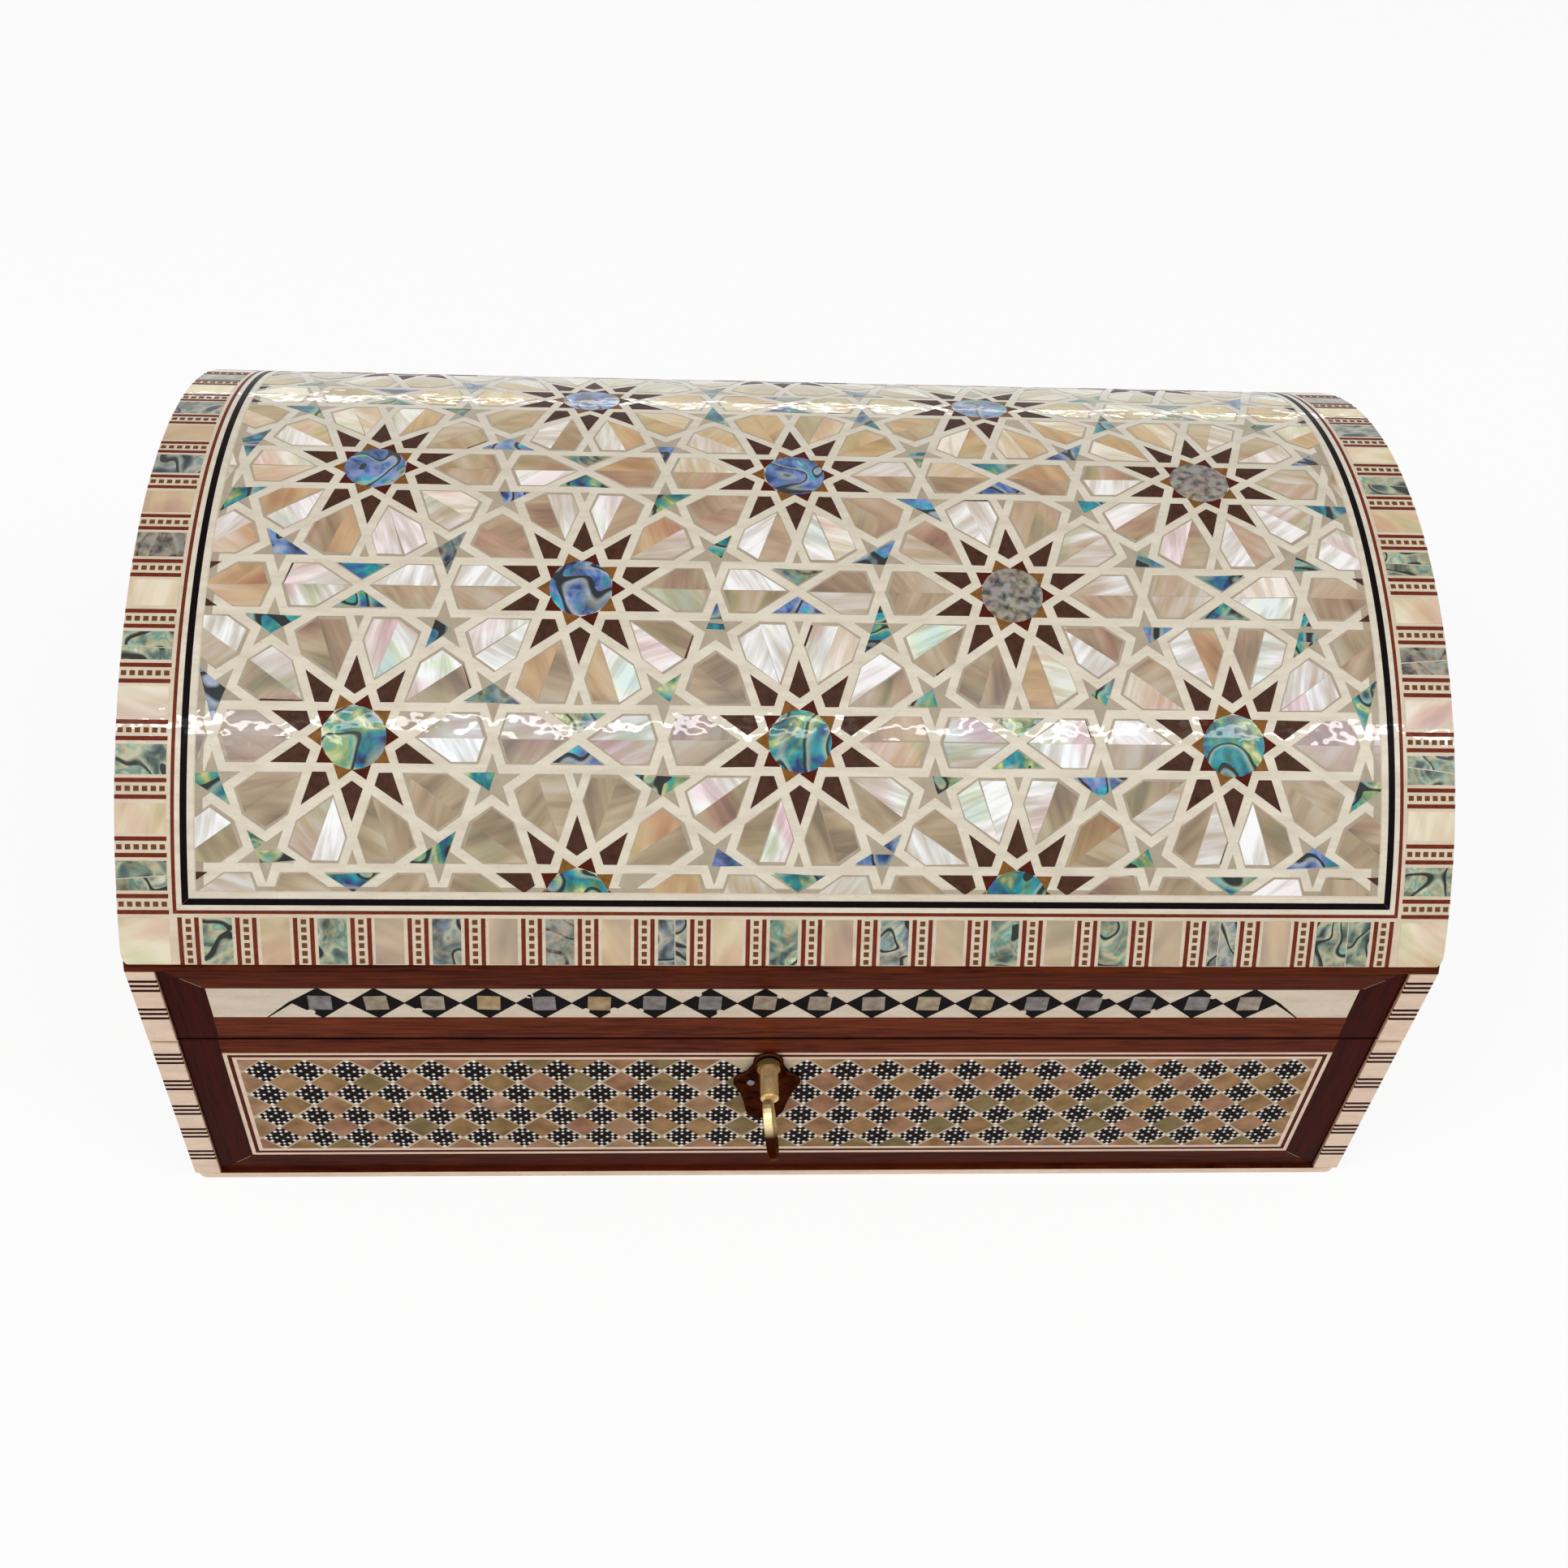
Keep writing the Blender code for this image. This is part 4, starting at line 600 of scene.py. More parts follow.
def make_key():
    """Brass key: handled brass, with a painted dark reflection on its collar and painted shade on the bow's
    far side, which faces down, away from the light.
    """
    material = make_metal("handled_brass", "brass", "cdb074", 0.34, 2.5, "c9ae7c")
    tree = material.node_tree
    handled = tree.nodes["Principled BSDF"].inputs["Base Color"].links[0].from_socket
    place = add_node(tree, "ShaderNodeTexCoord").outputs["Object"]
    outward = add_node(tree, "ShaderNodeSeparateXYZ", {"Vector": place}).outputs["Y"]
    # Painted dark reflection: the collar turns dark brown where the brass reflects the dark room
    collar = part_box("escutcheon")[0].y - 2.1 * MM
    collar_painted_reflection = add_node(tree, "ShaderNodeMapRange", {
        "Value": outward, "From Min": collar, "From Max": collar + 0.2 * MM, "To Max": 0.7})
    # Painted shade: the bow's far side faces down and forward, away from the light, and turns dark brown
    far = Vector((0.0, -0.846, -0.533))
    reach = far.dot(Vector(KEY_AXIS) + Vector((0.0, -24.2 * MM, 6.4 * MM)))
    away = add_node(tree, "ShaderNodeVectorMath", {0: place, 1: far}, operation="DOT_PRODUCT")
    far_side_painted_shade = add_node(tree, "ShaderNodeMapRange", {
        "Value": away.outputs["Value"], "From Min": reach - 1.0 * MM, "From Max": reach + 1.6 * MM})
    painted_shade = add_node(tree, "ShaderNodeMath", {0: collar_painted_reflection, 1: far_side_painted_shade}, operation="MAXIMUM")
    return wired(material, {"Base Color": add_node(tree, "ShaderNodeMix", {
        "Factor": painted_shade, "A": handled, "B": (*linear("33170e"), 1.0)}, data_type="RGBA")})


ALONG_X, ALONG_Y = (0.05, 1.0, 1.0), (1.0, 0.05, 1.0)
# Each finish with the function that makes it and what that function is given
MATERIALS = {
    "bone": (make_bone, "camel_bone", "bone"),
    # Warmer, pinker copy of the bone for upright faces: painted warm light
    "strip_bone": (make_bone, "rosy_camel_bone", "strip_bone"),
    # Darker, warmer copy of the bone: painted shade and warm light on the upright bands
    "band_bone": (make_bone, "band_camel_bone", "band_bone"),
    "dot_bone": (make_bone, "bleached_camel_bone", "dot_bone"),
    "filler": (make_filler,),
    "pearl": (make_dome_pearl,),
    "golden_pearl": (make_golden_pearl,),
    "border_pearl": (make_border_pearl,),
    "mosaic_pearl": (make_mosaic_pearl,),
    "band_pearl": (make_band_pearl,),
    "abalone": (make_star_abalone,),
    "border_abalone": (make_border_abalone,),
    "kite": (make_plain_wood, "dyed_walnut", "kite", 0.6, 2.0),
    "amber": (make_plain_wood, "lemon_wood", "amber", 0.7, 1.5),
    "redwood": (make_plain_wood, "red_sandalwood", "redwood", 0.7, 1.2),
    "ladder": (make_plain_wood, "walnut_squares", "ladder", 0.7, 1.2),
    "ebony": (make_plain_wood, "ebonised_wood", "ebony", 0.6, 1.5),
    "string": (make_plain_wood, "dark_rosewood_string", "string", 0.7, 1.2),
    "strip_line": (make_plain_wood, "dark_red_dye_wood", "strip_line", 0.6, 1.0),
    "lip": (make_plain_wood, "beech_lip", "lip", 0.6, 1.5),
    "joint": (make_plain_wood, "bone_dust_joint", "joint", 0.8, 3.0),
    "veneer": (make_mahogany, "mahogany_veneer", ALONG_X, True),
    "mahogany": (make_mahogany, "lacquered_mahogany", ALONG_X, False),
    "end_mahogany": (make_mahogany, "lacquered_mahogany_ends", ALONG_Y, False),
    "poplar": (make_poplar,),
    "velvet": (make_velvet,),
    "brass": (make_metal, "worn_brass", "brass", "94743c", 0.24, 4.0),
    "key": (make_key,),
    "bronze": (make_metal, "dark_bronze", "bronze", "1f0d08", 0.36, 3.0, "6b4030"),
    "steel": (make_metal, "rolled_steel", "steel", "5f5c58", 0.38, 6.0),
}
MADE = {}


def finish(name):
    """Material of that finish, made on its first use."""
    if name not in MADE:
        make, *values = MATERIALS[name]
        MADE[name] = make(*values)
    return MADE[name]


def polar(radius, degrees):
    """Point at a distance and an angle from the origin."""
    angle = math.radians(degrees)
    return Vector((radius * math.cos(angle), radius * math.sin(angle)))


def counter_clockwise(outline):
    """The outline with its points in counter-clockwise order."""
    area = sum(a.x * b.y - b.x * a.y for a, b in zip(outline, outline[1:] + outline[:1]))
    return outline if area > 0 else outline[::-1]


def inset(outline, margin):
    """Outline with every side moved inwards by a margin."""
    outline = counter_clockwise([Vector(point) for point in outline])
    moved = []
    for index, here in enumerate(outline):
        first = (here - outline[index - 1]).normalized()
        second = (outline[(index + 1) % len(outline)] - here).normalized()
        normals = Vector((-first.y, first.x)), Vector((-second.y, second.x))
        both = normals[0] + normals[1]
        moved.append(here + both * (margin / (1 + normals[0].dot(normals[1]))))
    return moved


def turned_about(outline, degrees, centre=(0.0, 0.0)):
    """Outline turned by an angle about the origin and then moved."""
    turn = Matrix.Rotation(math.radians(degrees), 2)
    return [turn @ Vector(point) + Vector(centre) for point in outline]


def rectangle(low_u, low_v, high_u, high_v):
    """Corners of a rectangle, counter-clockwise."""
    return [Vector(p) for p in ((low_u, low_v), (high_u, low_v), (high_u, high_v), (low_u, high_v))]


def ring(outside, inside):
    """Four-sided pieces between two outlines that have as many points each."""
    following = [*range(1, len(outside)), 0]
    return [[outside[i], outside[j], inside[j], inside[i]] for i, j in enumerate(following)]


def mitred_ring(outer, inner):
    """Four mitred sides between two rectangles of (half width, half height)."""
    return ring(*(rectangle(-half_u, -half_v, half_u, half_v) for half_u, half_v in (outer, inner)))


def as_object(name, shape, finishes):
    """Object made of a finished shape, with its finishes in slots."""
    mesh = bpy.data.meshes.new(name)
    shape.to_mesh(mesh)
    shape.free()
    for finish_name in finishes:
        mesh.materials.append(finish(finish_name))
    piece = bpy.data.objects.new(name, mesh)
    bpy.context.scene.collection.objects.link(piece)
    return piece


def flat_mesh(name, pieces):
    """Mesh with one flat face for each (outline, level) in a list."""
    shape = bmesh.new()
    for outline, level in pieces:
        points = counter_clockwise([Vector(point) for point in outline])
        shape.faces.new([shape.verts.new((point.x, point.y, level)) for point in points])
    mesh = bpy.data.meshes.new(name)
    shape.to_mesh(mesh)
    shape.free()
    return mesh


def rows_tree():
    """Geometry Nodes tree that lays a piece in columns and rows, every other row pushed sideways."""
    name = "Lay pieces in rows"
    if name in bpy.data.node_groups:
        return bpy.data.node_groups[name]
    tree = bpy.data.node_groups.new(name, "GeometryNodeTree")
    for socket_name, kind in (
            ("Piece", "Object"), ("Columns", "Int"), ("Rows", "Int"), ("Column pitch", "Float"),
            ("Row pitch", "Float"), ("Stagger", "Float"), ("Finish", "Material")):
        tree.interface.new_socket(socket_name, in_out="INPUT", socket_type=f"NodeSocket{kind}")
    tree.interface.new_socket("Geometry", in_out="OUTPUT", socket_type="NodeSocketGeometry")
    given = add_node(tree, "NodeGroupInput").outputs
    piece = add_node(tree, "GeometryNodeObjectInfo", {"Object": given["Piece"]})

    def line(count, pitch, direction):
        """Points on a line through the origin, as many as counted, a pitch apart."""
        steps = add_node(tree, "ShaderNodeMath", {0: count, 1: -1.0}, operation="ADD")
        length = add_node(tree, "ShaderNodeMath", {0: steps, 1: pitch}, operation="MULTIPLY")
        back = add_node(tree, "ShaderNodeMath", {0: length, 1: -0.5}, operation="MULTIPLY")
        start = add_node(tree, "ShaderNodeCombineXYZ", {direction: back})
        step = add_node(tree, "ShaderNodeCombineXYZ", {direction: pitch})
        return add_node(tree, "GeometryNodeMeshLine", {
            "Count": count, "Start Location": start, "Offset": step}, mode="OFFSET")

    columns = line(given["Columns"], given["Column pitch"], "X")
    row = add_node(tree, "GeometryNodeInstanceOnPoints", {
        "Points": columns, "Instance": piece.outputs["Geometry"]})
    rows = line(given["Rows"], given["Row pitch"], "Y")
    index = add_node(tree, "GeometryNodeInputIndex")
    odd = add_node(tree, "ShaderNodeMath", {0: index, 1: 2.0}, operation="MODULO")
    push = add_node(tree, "ShaderNodeMath", {0: odd, 1: given["Stagger"]}, operation="MULTIPLY")
    offset = add_node(tree, "ShaderNodeCombineXYZ", {"X": push})
    pushed = add_node(tree, "GeometryNodeSetPosition", {"Geometry": rows, "Offset": offset})
    field = add_node(tree, "GeometryNodeInstanceOnPoints", {"Points": pushed, "Instance": row})
    real = add_node(tree, "GeometryNodeRealizeInstances", {"Geometry": field})
    finished = add_node(tree, "GeometryNodeSetMaterial", {"Geometry": real, "Material": given["Finish"]})
    add_node(tree, "NodeGroupOutput", {"Geometry": finished})
    return tree


def run_tree(tree, values):
    """Set a tree's inputs on a carrier object and return what it makes as a plain mesh."""
    carrier = bpy.data.objects.new("carrier", bpy.data.meshes.new("carrier"))
    bpy.context.scene.collection.objects.link(carrier)
    modifier = carrier.modifiers.new(tree.name, "NODES")
    modifier.node_group = tree
    for item in tree.interface.items_tree:
        if item.in_out == "INPUT" and item.name in values:
            modifier[item.identifier] = values[item.name]
    depsgraph = bpy.context.evaluated_depsgraph_get()
    mesh = bpy.data.meshes.new_from_object(carrier.evaluated_get(depsgraph))
    bpy.data.objects.remove(carrier)
    return mesh


def move_face(face, centre, turn, move):
    """Turn a face about a centre and shift it."""
    for vert in face.verts:
        vert.co = centre + turn @ (vert.co - centre) + move


class Drawing:
    """Flat drawing of inlay: pieces by finish, as faces with a tone, a turn and a height each."""

    def __init__(self, seed):
        self.shape = bmesh.new()
        self.tone = self.shape.faces.layers.float.new("tone")
        self.turn = self.shape.faces.layers.float.new("turn")
        self.finishes = []
        self.chance = random.Random(seed)

    def slot(self, name):
        """Number of the material slot of a finish."""
        if name not in self.finishes:
            self.finishes.append(name)
        return self.finishes.index(name)

    def add(self, name, outline, level=0.0, turn=None, tone=None):
        """Add one piece."""
        points = counter_clockwise([Vector(point) for point in outline])
        face = self.shape.faces.new([self.shape.verts.new((p.x, p.y, level)) for p in points])
        self.dress(face, name, turn)
        if tone is not None:
            face[self.tone] = tone

    def dress(self, face, name, turn=None):
        """Give a face its finish and a tone and turn of its own."""
        face.material_index = self.slot(name)
        face[self.tone] = self.chance.random()
        face[self.turn] = self.chance.uniform(0, math.tau) if turn is None else turn

    def add_rows(self, pieces, columns, rows, pitch, row_pitch, stagger=0.0, centre=(0.0, 0.0), quarter=0):
        """Add (finish, outline, level) pieces in rows by Geometry Nodes, turned by quarters of a circle."""
        turn = Matrix.Rotation(quarter * math.pi / 2, 4, "Z")
        move = Matrix.Translation((centre[0], centre[1], 0.0))
        for name in dict.fromkeys(piece[0] for piece in pieces):
            own = [(outline, level) for finish_name, outline, level in pieces if finish_name == name]
            tile = bpy.data.objects.new("tile", flat_mesh("tile", own))
            bpy.context.scene.collection.objects.link(tile)
            mesh = run_tree(rows_tree(), {
                "Piece": tile, "Columns": columns, "Rows": rows, "Column pitch": pitch,
                "Row pitch": row_pitch, "Stagger": stagger, "Finish": finish(name)})
            bpy.data.objects.remove(tile)
            mesh.transform(move @ turn)
            known = len(self.shape.faces)
            self.shape.from_mesh(mesh)
            bpy.data.meshes.remove(mesh)
            self.shape.faces.ensure_lookup_table()
            for face in self.shape.faces[known:]:
                self.dress(face, name)

    def faces_of(self, name):
        """Faces of one finish."""
        return [face for face in self.shape.faces if face.material_index == self.slot(name)]

    def slack(self, shift, degrees):
        """A small turn and a small shift, drawn by chance."""
        turn = Matrix.Rotation(math.radians(self.chance.uniform(-degrees, degrees)), 3, "Z")
        return turn, Vector((self.chance.uniform(-shift, shift), self.chance.uniform(-shift, shift), 0.0))

    def settle(self, names, shift, degrees, rise):
        """Hand-laid pieces: each a little off its place and angle, and a hair higher or lower."""
        for name in names:
            for face in self.faces_of(name):
                turn, move = self.slack(shift, degrees)
                move.z = self.chance.uniform(-rise, 0.0)
                move_face(face, face.calc_center_median(), turn, move)

    def nudge(self, faces, pitch, columns, rows, shift, degrees):
        """Shift and turn every tile of a square grid a little, with all the faces that belong to it."""
        last = Vector((columns - 1, rows - 1))
        moves = {}
        for face in faces:
            middle = face.calc_center_median()
            cell = tuple(round(place / pitch + end / 2) for place, end in zip(middle, last))
            if cell not in moves:
                moves[cell] = self.slack(shift, degrees)
            centre = (Vector(cell) - last / 2) * pitch
            move_face(face, centre.to_3d(), *moves[cell])

    def cut(self, point, direction, clear=False):
        """Cut pieces along a line, given a point on it and its normal, and clear what lies beyond it."""
        everything = self.shape.verts[:] + self.shape.edges[:] + self.shape.faces[:]
        bmesh.ops.bisect_plane(
            self.shape, geom=everything, dist=CUT_TOLERANCE, plane_co=(*point, 0.0),
            plane_no=(*direction, 0.0), clear_outer=clear)

    def trim_to(self, low_u, low_v, high_u, high_v):
        """Cut away what lies outside a rectangle."""
        self.cut((low_u, 0.0), (-1.0, 0.0), True)
        self.cut((high_u, 0.0), (1.0, 0.0), True)
        self.cut((0.0, low_v), (0.0, -1.0), True)
        self.cut((0.0, high_v), (0.0, 1.0), True)

    def score(self, half_v, step):
        """Cut pieces along level lines so that they can bend over a curve."""
        count = math.ceil(2 * half_v / step)
        for index in range(1, count):
            self.cut((0.0, -half_v + 2 * half_v * index / count), (0.0, 1.0))

    def merge(self, other):
        """Take over the pieces of another drawing."""
        offset = [self.slot(name) for name in other.finishes]
        for face in other.shape.faces:
            copy = self.shape.faces.new([self.shape.verts.new(vert.co) for vert in face.verts])
            copy.material_index = offset[face.material_index]
            copy[self.tone] = face[other.tone]
            copy[self.turn] = face[other.turn]
        other.shape.free()

    def lay(self, name, place, depth):
        """Give every piece its depth, lay it on its surface and return the object."""
        shape = self.shape
        tiny = [face for face in shape.faces if face.calc_area() < LEAST_AREA]
        bmesh.ops.delete(shape, geom=tiny, context="FACES")
        flat = shape.loops.layers.uv.new("inlay")
        tops = shape.faces[:]
        rims = [edge for edge in shape.edges if len(edge.link_faces) == 1]
        under = {
            vert: shape.verts.new((vert.co.x, vert.co.y, vert.co.z - depth)) for vert in shape.verts[:]}
        made = []
        for face in tops:
            face.smooth = True
            made.append((face, shape.faces.new([under[vert] for vert in reversed(face.verts)])))
        for edge in rims:
            edge.smooth = False
            loop = edge.link_loops[0]
            first, second = loop.vert, loop.link_loop_next.vert
            side = shape.faces.new((second, first, under[first], under[second]))
            made.append((loop.face, side))
        for face, copy in made:
            copy.material_index = face.material_index
            copy[self.tone] = face[self.tone]
            copy[self.turn] = face[self.turn]
        for face in shape.faces:
            for loop in face.loops:
                loop[flat].uv = loop.vert.co.xy
        for vert in shape.verts:
            vert.co = place(*vert.co)
        return as_object(name, shape, self.finishes)


def on_dome(u, v, height):
    """Place on the dome: u along the box, v along the arc from the crown to the back."""
    radius = DOME_RADIUS + height
    angle = v / DOME_RADIUS
    return Vector((u, radius * math.sin(angle), DOME_AXIS + radius * math.cos(angle)))


def on_side(side, middle_z):
    """Function that places a flat drawing on one of the box's four upright sides."""
    return {
        "front": lambda u, v, height: Vector((u, FRONT_FACE - height, middle_z + v)),
        "back": lambda u, v, height: Vector((-u, BACK_FACE + height, middle_z + v)),
        "left": lambda u, v, height: Vector((LEFT_FACE - height, -u, middle_z + v)),
        "right": lambda u, v, height: Vector((RIGHT_FACE + height, u, middle_z + v)),
    }[side]


def panel_size(node, side):
    """Half width, half height and middle height of an upright panel."""
    low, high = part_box(node)
    across = (high.x - low.x) if side in ("front", "back") else (high.y - low.y)
    return across / 2, (high.z - low.z) / 2, (high.z + low.z) / 2


def star_tile(sizes):
    """Pieces of one star of the pattern, with the cells to its right, above and below it."""
    unit = sizes.star_pitch / GOLDEN
    strap = sizes.strap_width / 2
    sunk = -sizes.ground_drop / 2
    shell = strap + sizes.shell_gap
    pieces = []

    def scaled(points):
        return [Vector(point) * unit for point in points]

    petal = scaled([
        (STAR_TIP, 0.0), (PETAL_SIDE[0], -PETAL_HALF_WIDTH), (PETAL_SIDE[1], -PETAL_HALF_WIDTH),
        (PETAL_END, 0.0), (PETAL_SIDE[1], PETAL_HALF_WIDTH), (PETAL_SIDE[0], PETAL_HALF_WIDTH)])
    cell = inset(petal, strap)
    blank = inset(petal, shell)
    for index in (2, 3, 4):
        blank[index].x -= sizes.shell_gap
    tip, low_near, low_far, end, high_far, high_near = blank
    split = 0.04 * MM
    lower = inset([tip, low_near, low_far, end], split)
    upper = inset([tip, end, high_far, high_near], split)
    places = [(36.0 * k, (0.0, 0.0)) for k in range(10)]
    places += [(0.0, ((GOLDEN - 1) * unit, 0.0)), (180.0, (unit, 0.0))]
    for degrees, centre in places:
        pieces.append(("filler", turned_about(cell, degrees, centre), sunk))
        pieces.append(("pearl", turned_about(lower, degrees, centre), 0.0))
        pieces.append(("pearl", turned_about(upper, degrees, centre), 0.0))

    kite = inset(scaled([
        polar(STAR_NOTCH, 18), polar(STAR_TIP, 0), polar(KITE_TIP, 18), polar(STAR_TIP, 36)]), strap)
    star = []
    for k in range(10):
        pieces.append(("kite", turned_about(kite, 36 * k), 0.0))
        star += scaled([polar(STAR_TIP, 36 * k), polar(STAR_NOTCH, 36 * k + 18)])
    points = inset(star, strap)
    for k in range(10):
        triangle = [points[2 * k - 1], points[2 * k], points[(2 * k + 1) % 20]]
        pieces.append(("amber" if k % 2 else "string", triangle, sunk))
    disc = [polar(STAR_DISC * unit, 15 * k) for k in range(24)]
    pieces.append(("abalone", disc, 0.0))

    for sign in (-1, 1):
        wide = scaled([
            (BOWTIE, 0.0), (BOWTIE - (GOLDEN - 1) / 4, sign * PETAL_HALF_WIDTH),
            (BOWTIE + (GOLDEN - 1) / 4, sign * PETAL_HALF_WIDTH)])
        pieces.append(("filler", inset(wide, strap), sunk))
        pieces.append(("abalone", inset(wide, strap + sizes.shell_gap / 2), 0.0))
        narrow = scaled([
            (0.0, sign * KITE_TIP), (NARROW_BASE[0], sign * NARROW_BASE[1]),
            (-NARROW_BASE[0], sign * NARROW_BASE[1])])
        pieces.append(("filler", inset(narrow, strap * 0.8), sunk))

    for place in PENTAGRAM_PLACES:
        tips, notches = pentagram(unit, place)
        outline = [point for pair in zip(tips, notches) for point in pair]
        pieces.append(("filler", inset(outline, strap), sunk))
    return pieces


def pentagram(unit, place):
    """Tips and notches of the five-pointed cell that stands at an angle from a star's centre."""
    centre = polar(PENTAGRAM_PLACE * unit, place)
    facing = place + 180
    tips = [centre + polar(PENTAGRAM_TIP * unit, facing + 72 * k) for k in range(5)]
    notches = [centre + polar(PENTAGRAM_NOTCH * unit, facing + 36 + 72 * k) for k in range(5)]
    return tips, notches


def add_pentagram_shell(drawing, sizes, row_pitch):
    """A triangle of abalone in each five-pointed cell, over one or two of its points and the middle."""
    chance = drawing.chance
    for row in range(STAR_ROWS):
        for column in range(STAR_COLUMNS):
            star = Vector((
                (column - (STAR_COLUMNS - 1) / 2 + row % 2 / 2) * sizes.star_pitch,
                (row - (STAR_ROWS - 1) / 2) * row_pitch))
            for place in PENTAGRAM_PLACES:
                tips, notches = pentagram(sizes.star_pitch / GOLDEN, place)
                spike = chance.randrange(5)
                second = (
                    tips[(spike + 2) % 5] if chance.random() < TWO_POINT_SHARE else notches[(spike + 1) % 5])
                triangle = [tips[spike], second, notches[(spike + 3) % 5]]
                drawing.add("abalone", [star + point for point in inset(triangle, sizes.strap_width / 2)])


def draw_stars(drawing, sizes, half_u, half_v, grey_discs=()):
    """Star pattern over a field about the crown: a filler ground, a bone sheet and the cells' pieces."""
    drawing.add("filler", rectangle(-half_u, -half_v, half_u, half_v), -1.5 * sizes.ground_drop)
    inner_u = half_u - sizes.field_margin
    inner_v = half_v - sizes.field_margin * 0.6
    bone = rectangle(-inner_u, -inner_v, inner_u, inner_v)
    drawing.add("bone", bone, -sizes.ground_drop)
    pitch = sizes.star_pitch
    row_pitch = pitch * STAR_ROW_SHARE
    drawing.add_rows(star_tile(sizes), STAR_COLUMNS, STAR_ROWS, pitch, row_pitch, pitch / 2)
    add_pentagram_shell(drawing, sizes, row_pitch)
    drawing.settle(["pearl"], shift=0.22 * MM, degrees=1.6, rise=0.02 * MM)
    drawing.settle(["kite", "amber", "string"], shift=0.12 * MM, degrees=1.2, rise=0.02 * MM)
    drawing.settle(["abalone"], shift=0.25 * MM, degrees=4.0, rise=0.02 * MM)
    for face in drawing.faces_of("kite"):
        if drawing.chance.random() < LOST_KITE_SHARE:
            face.material_index = drawing.slot("filler")
    for face in drawing.faces_of("abalone"):
        centre = face.calc_center_median().xy
        span = TRIANGLE_TONES
        if len(face.verts) > 4:
            span = GREEN_TONES if centre.y < GREEN_DISCS_BELOW else BLUE_TONES
        old = any((centre - Vector(place)).length < GREY_DISC_REACH for place in grey_discs)
        face[drawing.tone] = OLD_SHELL_TONE if old else drawing.chance.uniform(*span)
    for face in drawing.faces_of("pearl"):
        if face.calc_center_median().y < FRONT_ROWS - half_v and drawing.chance.random() < TAN_SHARE:
            face[drawing.tone] *= TAN_TONE
    add_slivers(drawing)
    # More golden shell on the back half: partly its own shell, partly painted warm light from behind
    for face in drawing.faces_of("pearl"):
        share = CROWN_GOLD_AND_WARM_LIGHT_SHARE if face.calc_center_median().y > 0.0 else FRONT_GOLD_SHARE
        if drawing.chance.random() < share:
            face.material_index = drawing.slot("golden_pearl")


def add_slivers(drawing):
    """Dark wood slivers that fill the gap where a shell piece was cut a little short."""
    for face in drawing.faces_of("pearl"):
        if drawing.chance.random() > SLIVER_SHARE:
            continue
        loop = drawing.chance.choice(list(face.loops))
        first, second = loop.vert.co, loop.link_loop_next.vert.co
        along = (second - first).xy
        outward = Vector((along.y, -along.x)).normalized()
        width = drawing.chance.uniform(*SLIVER_WIDTHS) * MM
        taper = drawing.chance.uniform(0.2, 1.0)
        outline = [
            first.xy - outward * 0.1 * MM, first.xy + outward * width,
            second.xy + outward * width * taper, second.xy - outward * 0.1 * MM]
        drawing.add("kite", outline, first.z - 0.012 * MM)


def separator(sizes):
    """Ladder separator of the border: two brown lines with a row of brown squares between them."""
    half = sizes.block_length / 2
    line = sizes.string_width
    offset = sizes.separator_width / 2 - 0.7 * MM - line / 2
    pieces = [
        ("redwood", rectangle(sign * offset - line / 2, -half, sign * offset + line / 2, half), 0.0)
        for sign in (-1, 1)]
    pitch = sizes.block_length / LADDER_SQUARES
    square = sizes.ladder_square / 2
    for index in range(LADDER_SQUARES):
        middle = (index - (LADDER_SQUARES - 1) / 2) * pitch
        pieces.append(("ladder", rectangle(-square, middle - square, square, middle + square), 0.0))
    return pieces


def draw_run(drawing, sizes, middles, across, quarter):
    """One side of the border: separators at given places, and shell blocks between them in turn."""
    regular = middles[:-1]
    pitch = (regular[-1] - regular[0]) / (len(regular) - 1)
    for count, middle in ((len(regular), (regular[0] + regular[-1]) / 2), (1, middles[-1])):
        centre = (middle, across) if quarter == 0 else (across, middle)
        drawing.add_rows(separator(sizes), count, 1, pitch, pitch, centre=centre, quarter=quarter)
    half_separator = sizes.separator_width / 2 + 0.1 * MM
    half_length = sizes.block_length / 2 - 0.15 * MM
    for index, (before, after) in enumerate(zip(middles, middles[1:])):
        low, high = before + half_separator, after - half_separator
        name = "border_pearl" if index % 2 else "border_abalone"
        tone = drawing.chance.choice(ABALONE_TONES)
        if index % 2:
            tone = drawing.chance.uniform(*(RISING_PEARL_TONES if quarter else LEVEL_PEARL_TONES))
        whole = high - low <= LONGEST_BLOCK and (index % 2 or drawing.chance.random() >= SPLIT_SHARE)
        cut_low, cut_high = (
            low + (high - low) * drawing.chance.uniform(*SPLIT_PLACES) for _ in range(2))
        gap = 0.12 * MM
        if whole:
            outlines = [rectangle(low, -half_length, high, half_length)]
        else:
            outlines = [
                [(low, -half_length), (cut_low - gap, -half_length), (cut_high - gap, half_length),
                 (low, half_length)],
                [(cut_low + gap, -half_length), (high, -half_length), (high, half_length),
                 (cut_high + gap, half_length)]]
        for outline in outlines:
            if quarter == 0:
                placed = [Vector((u, across + v)) for u, v in outline]
            else:
                placed = [Vector((across - v, u)) for u, v in outline]
            drawing.add(name, placed, tone=tone)


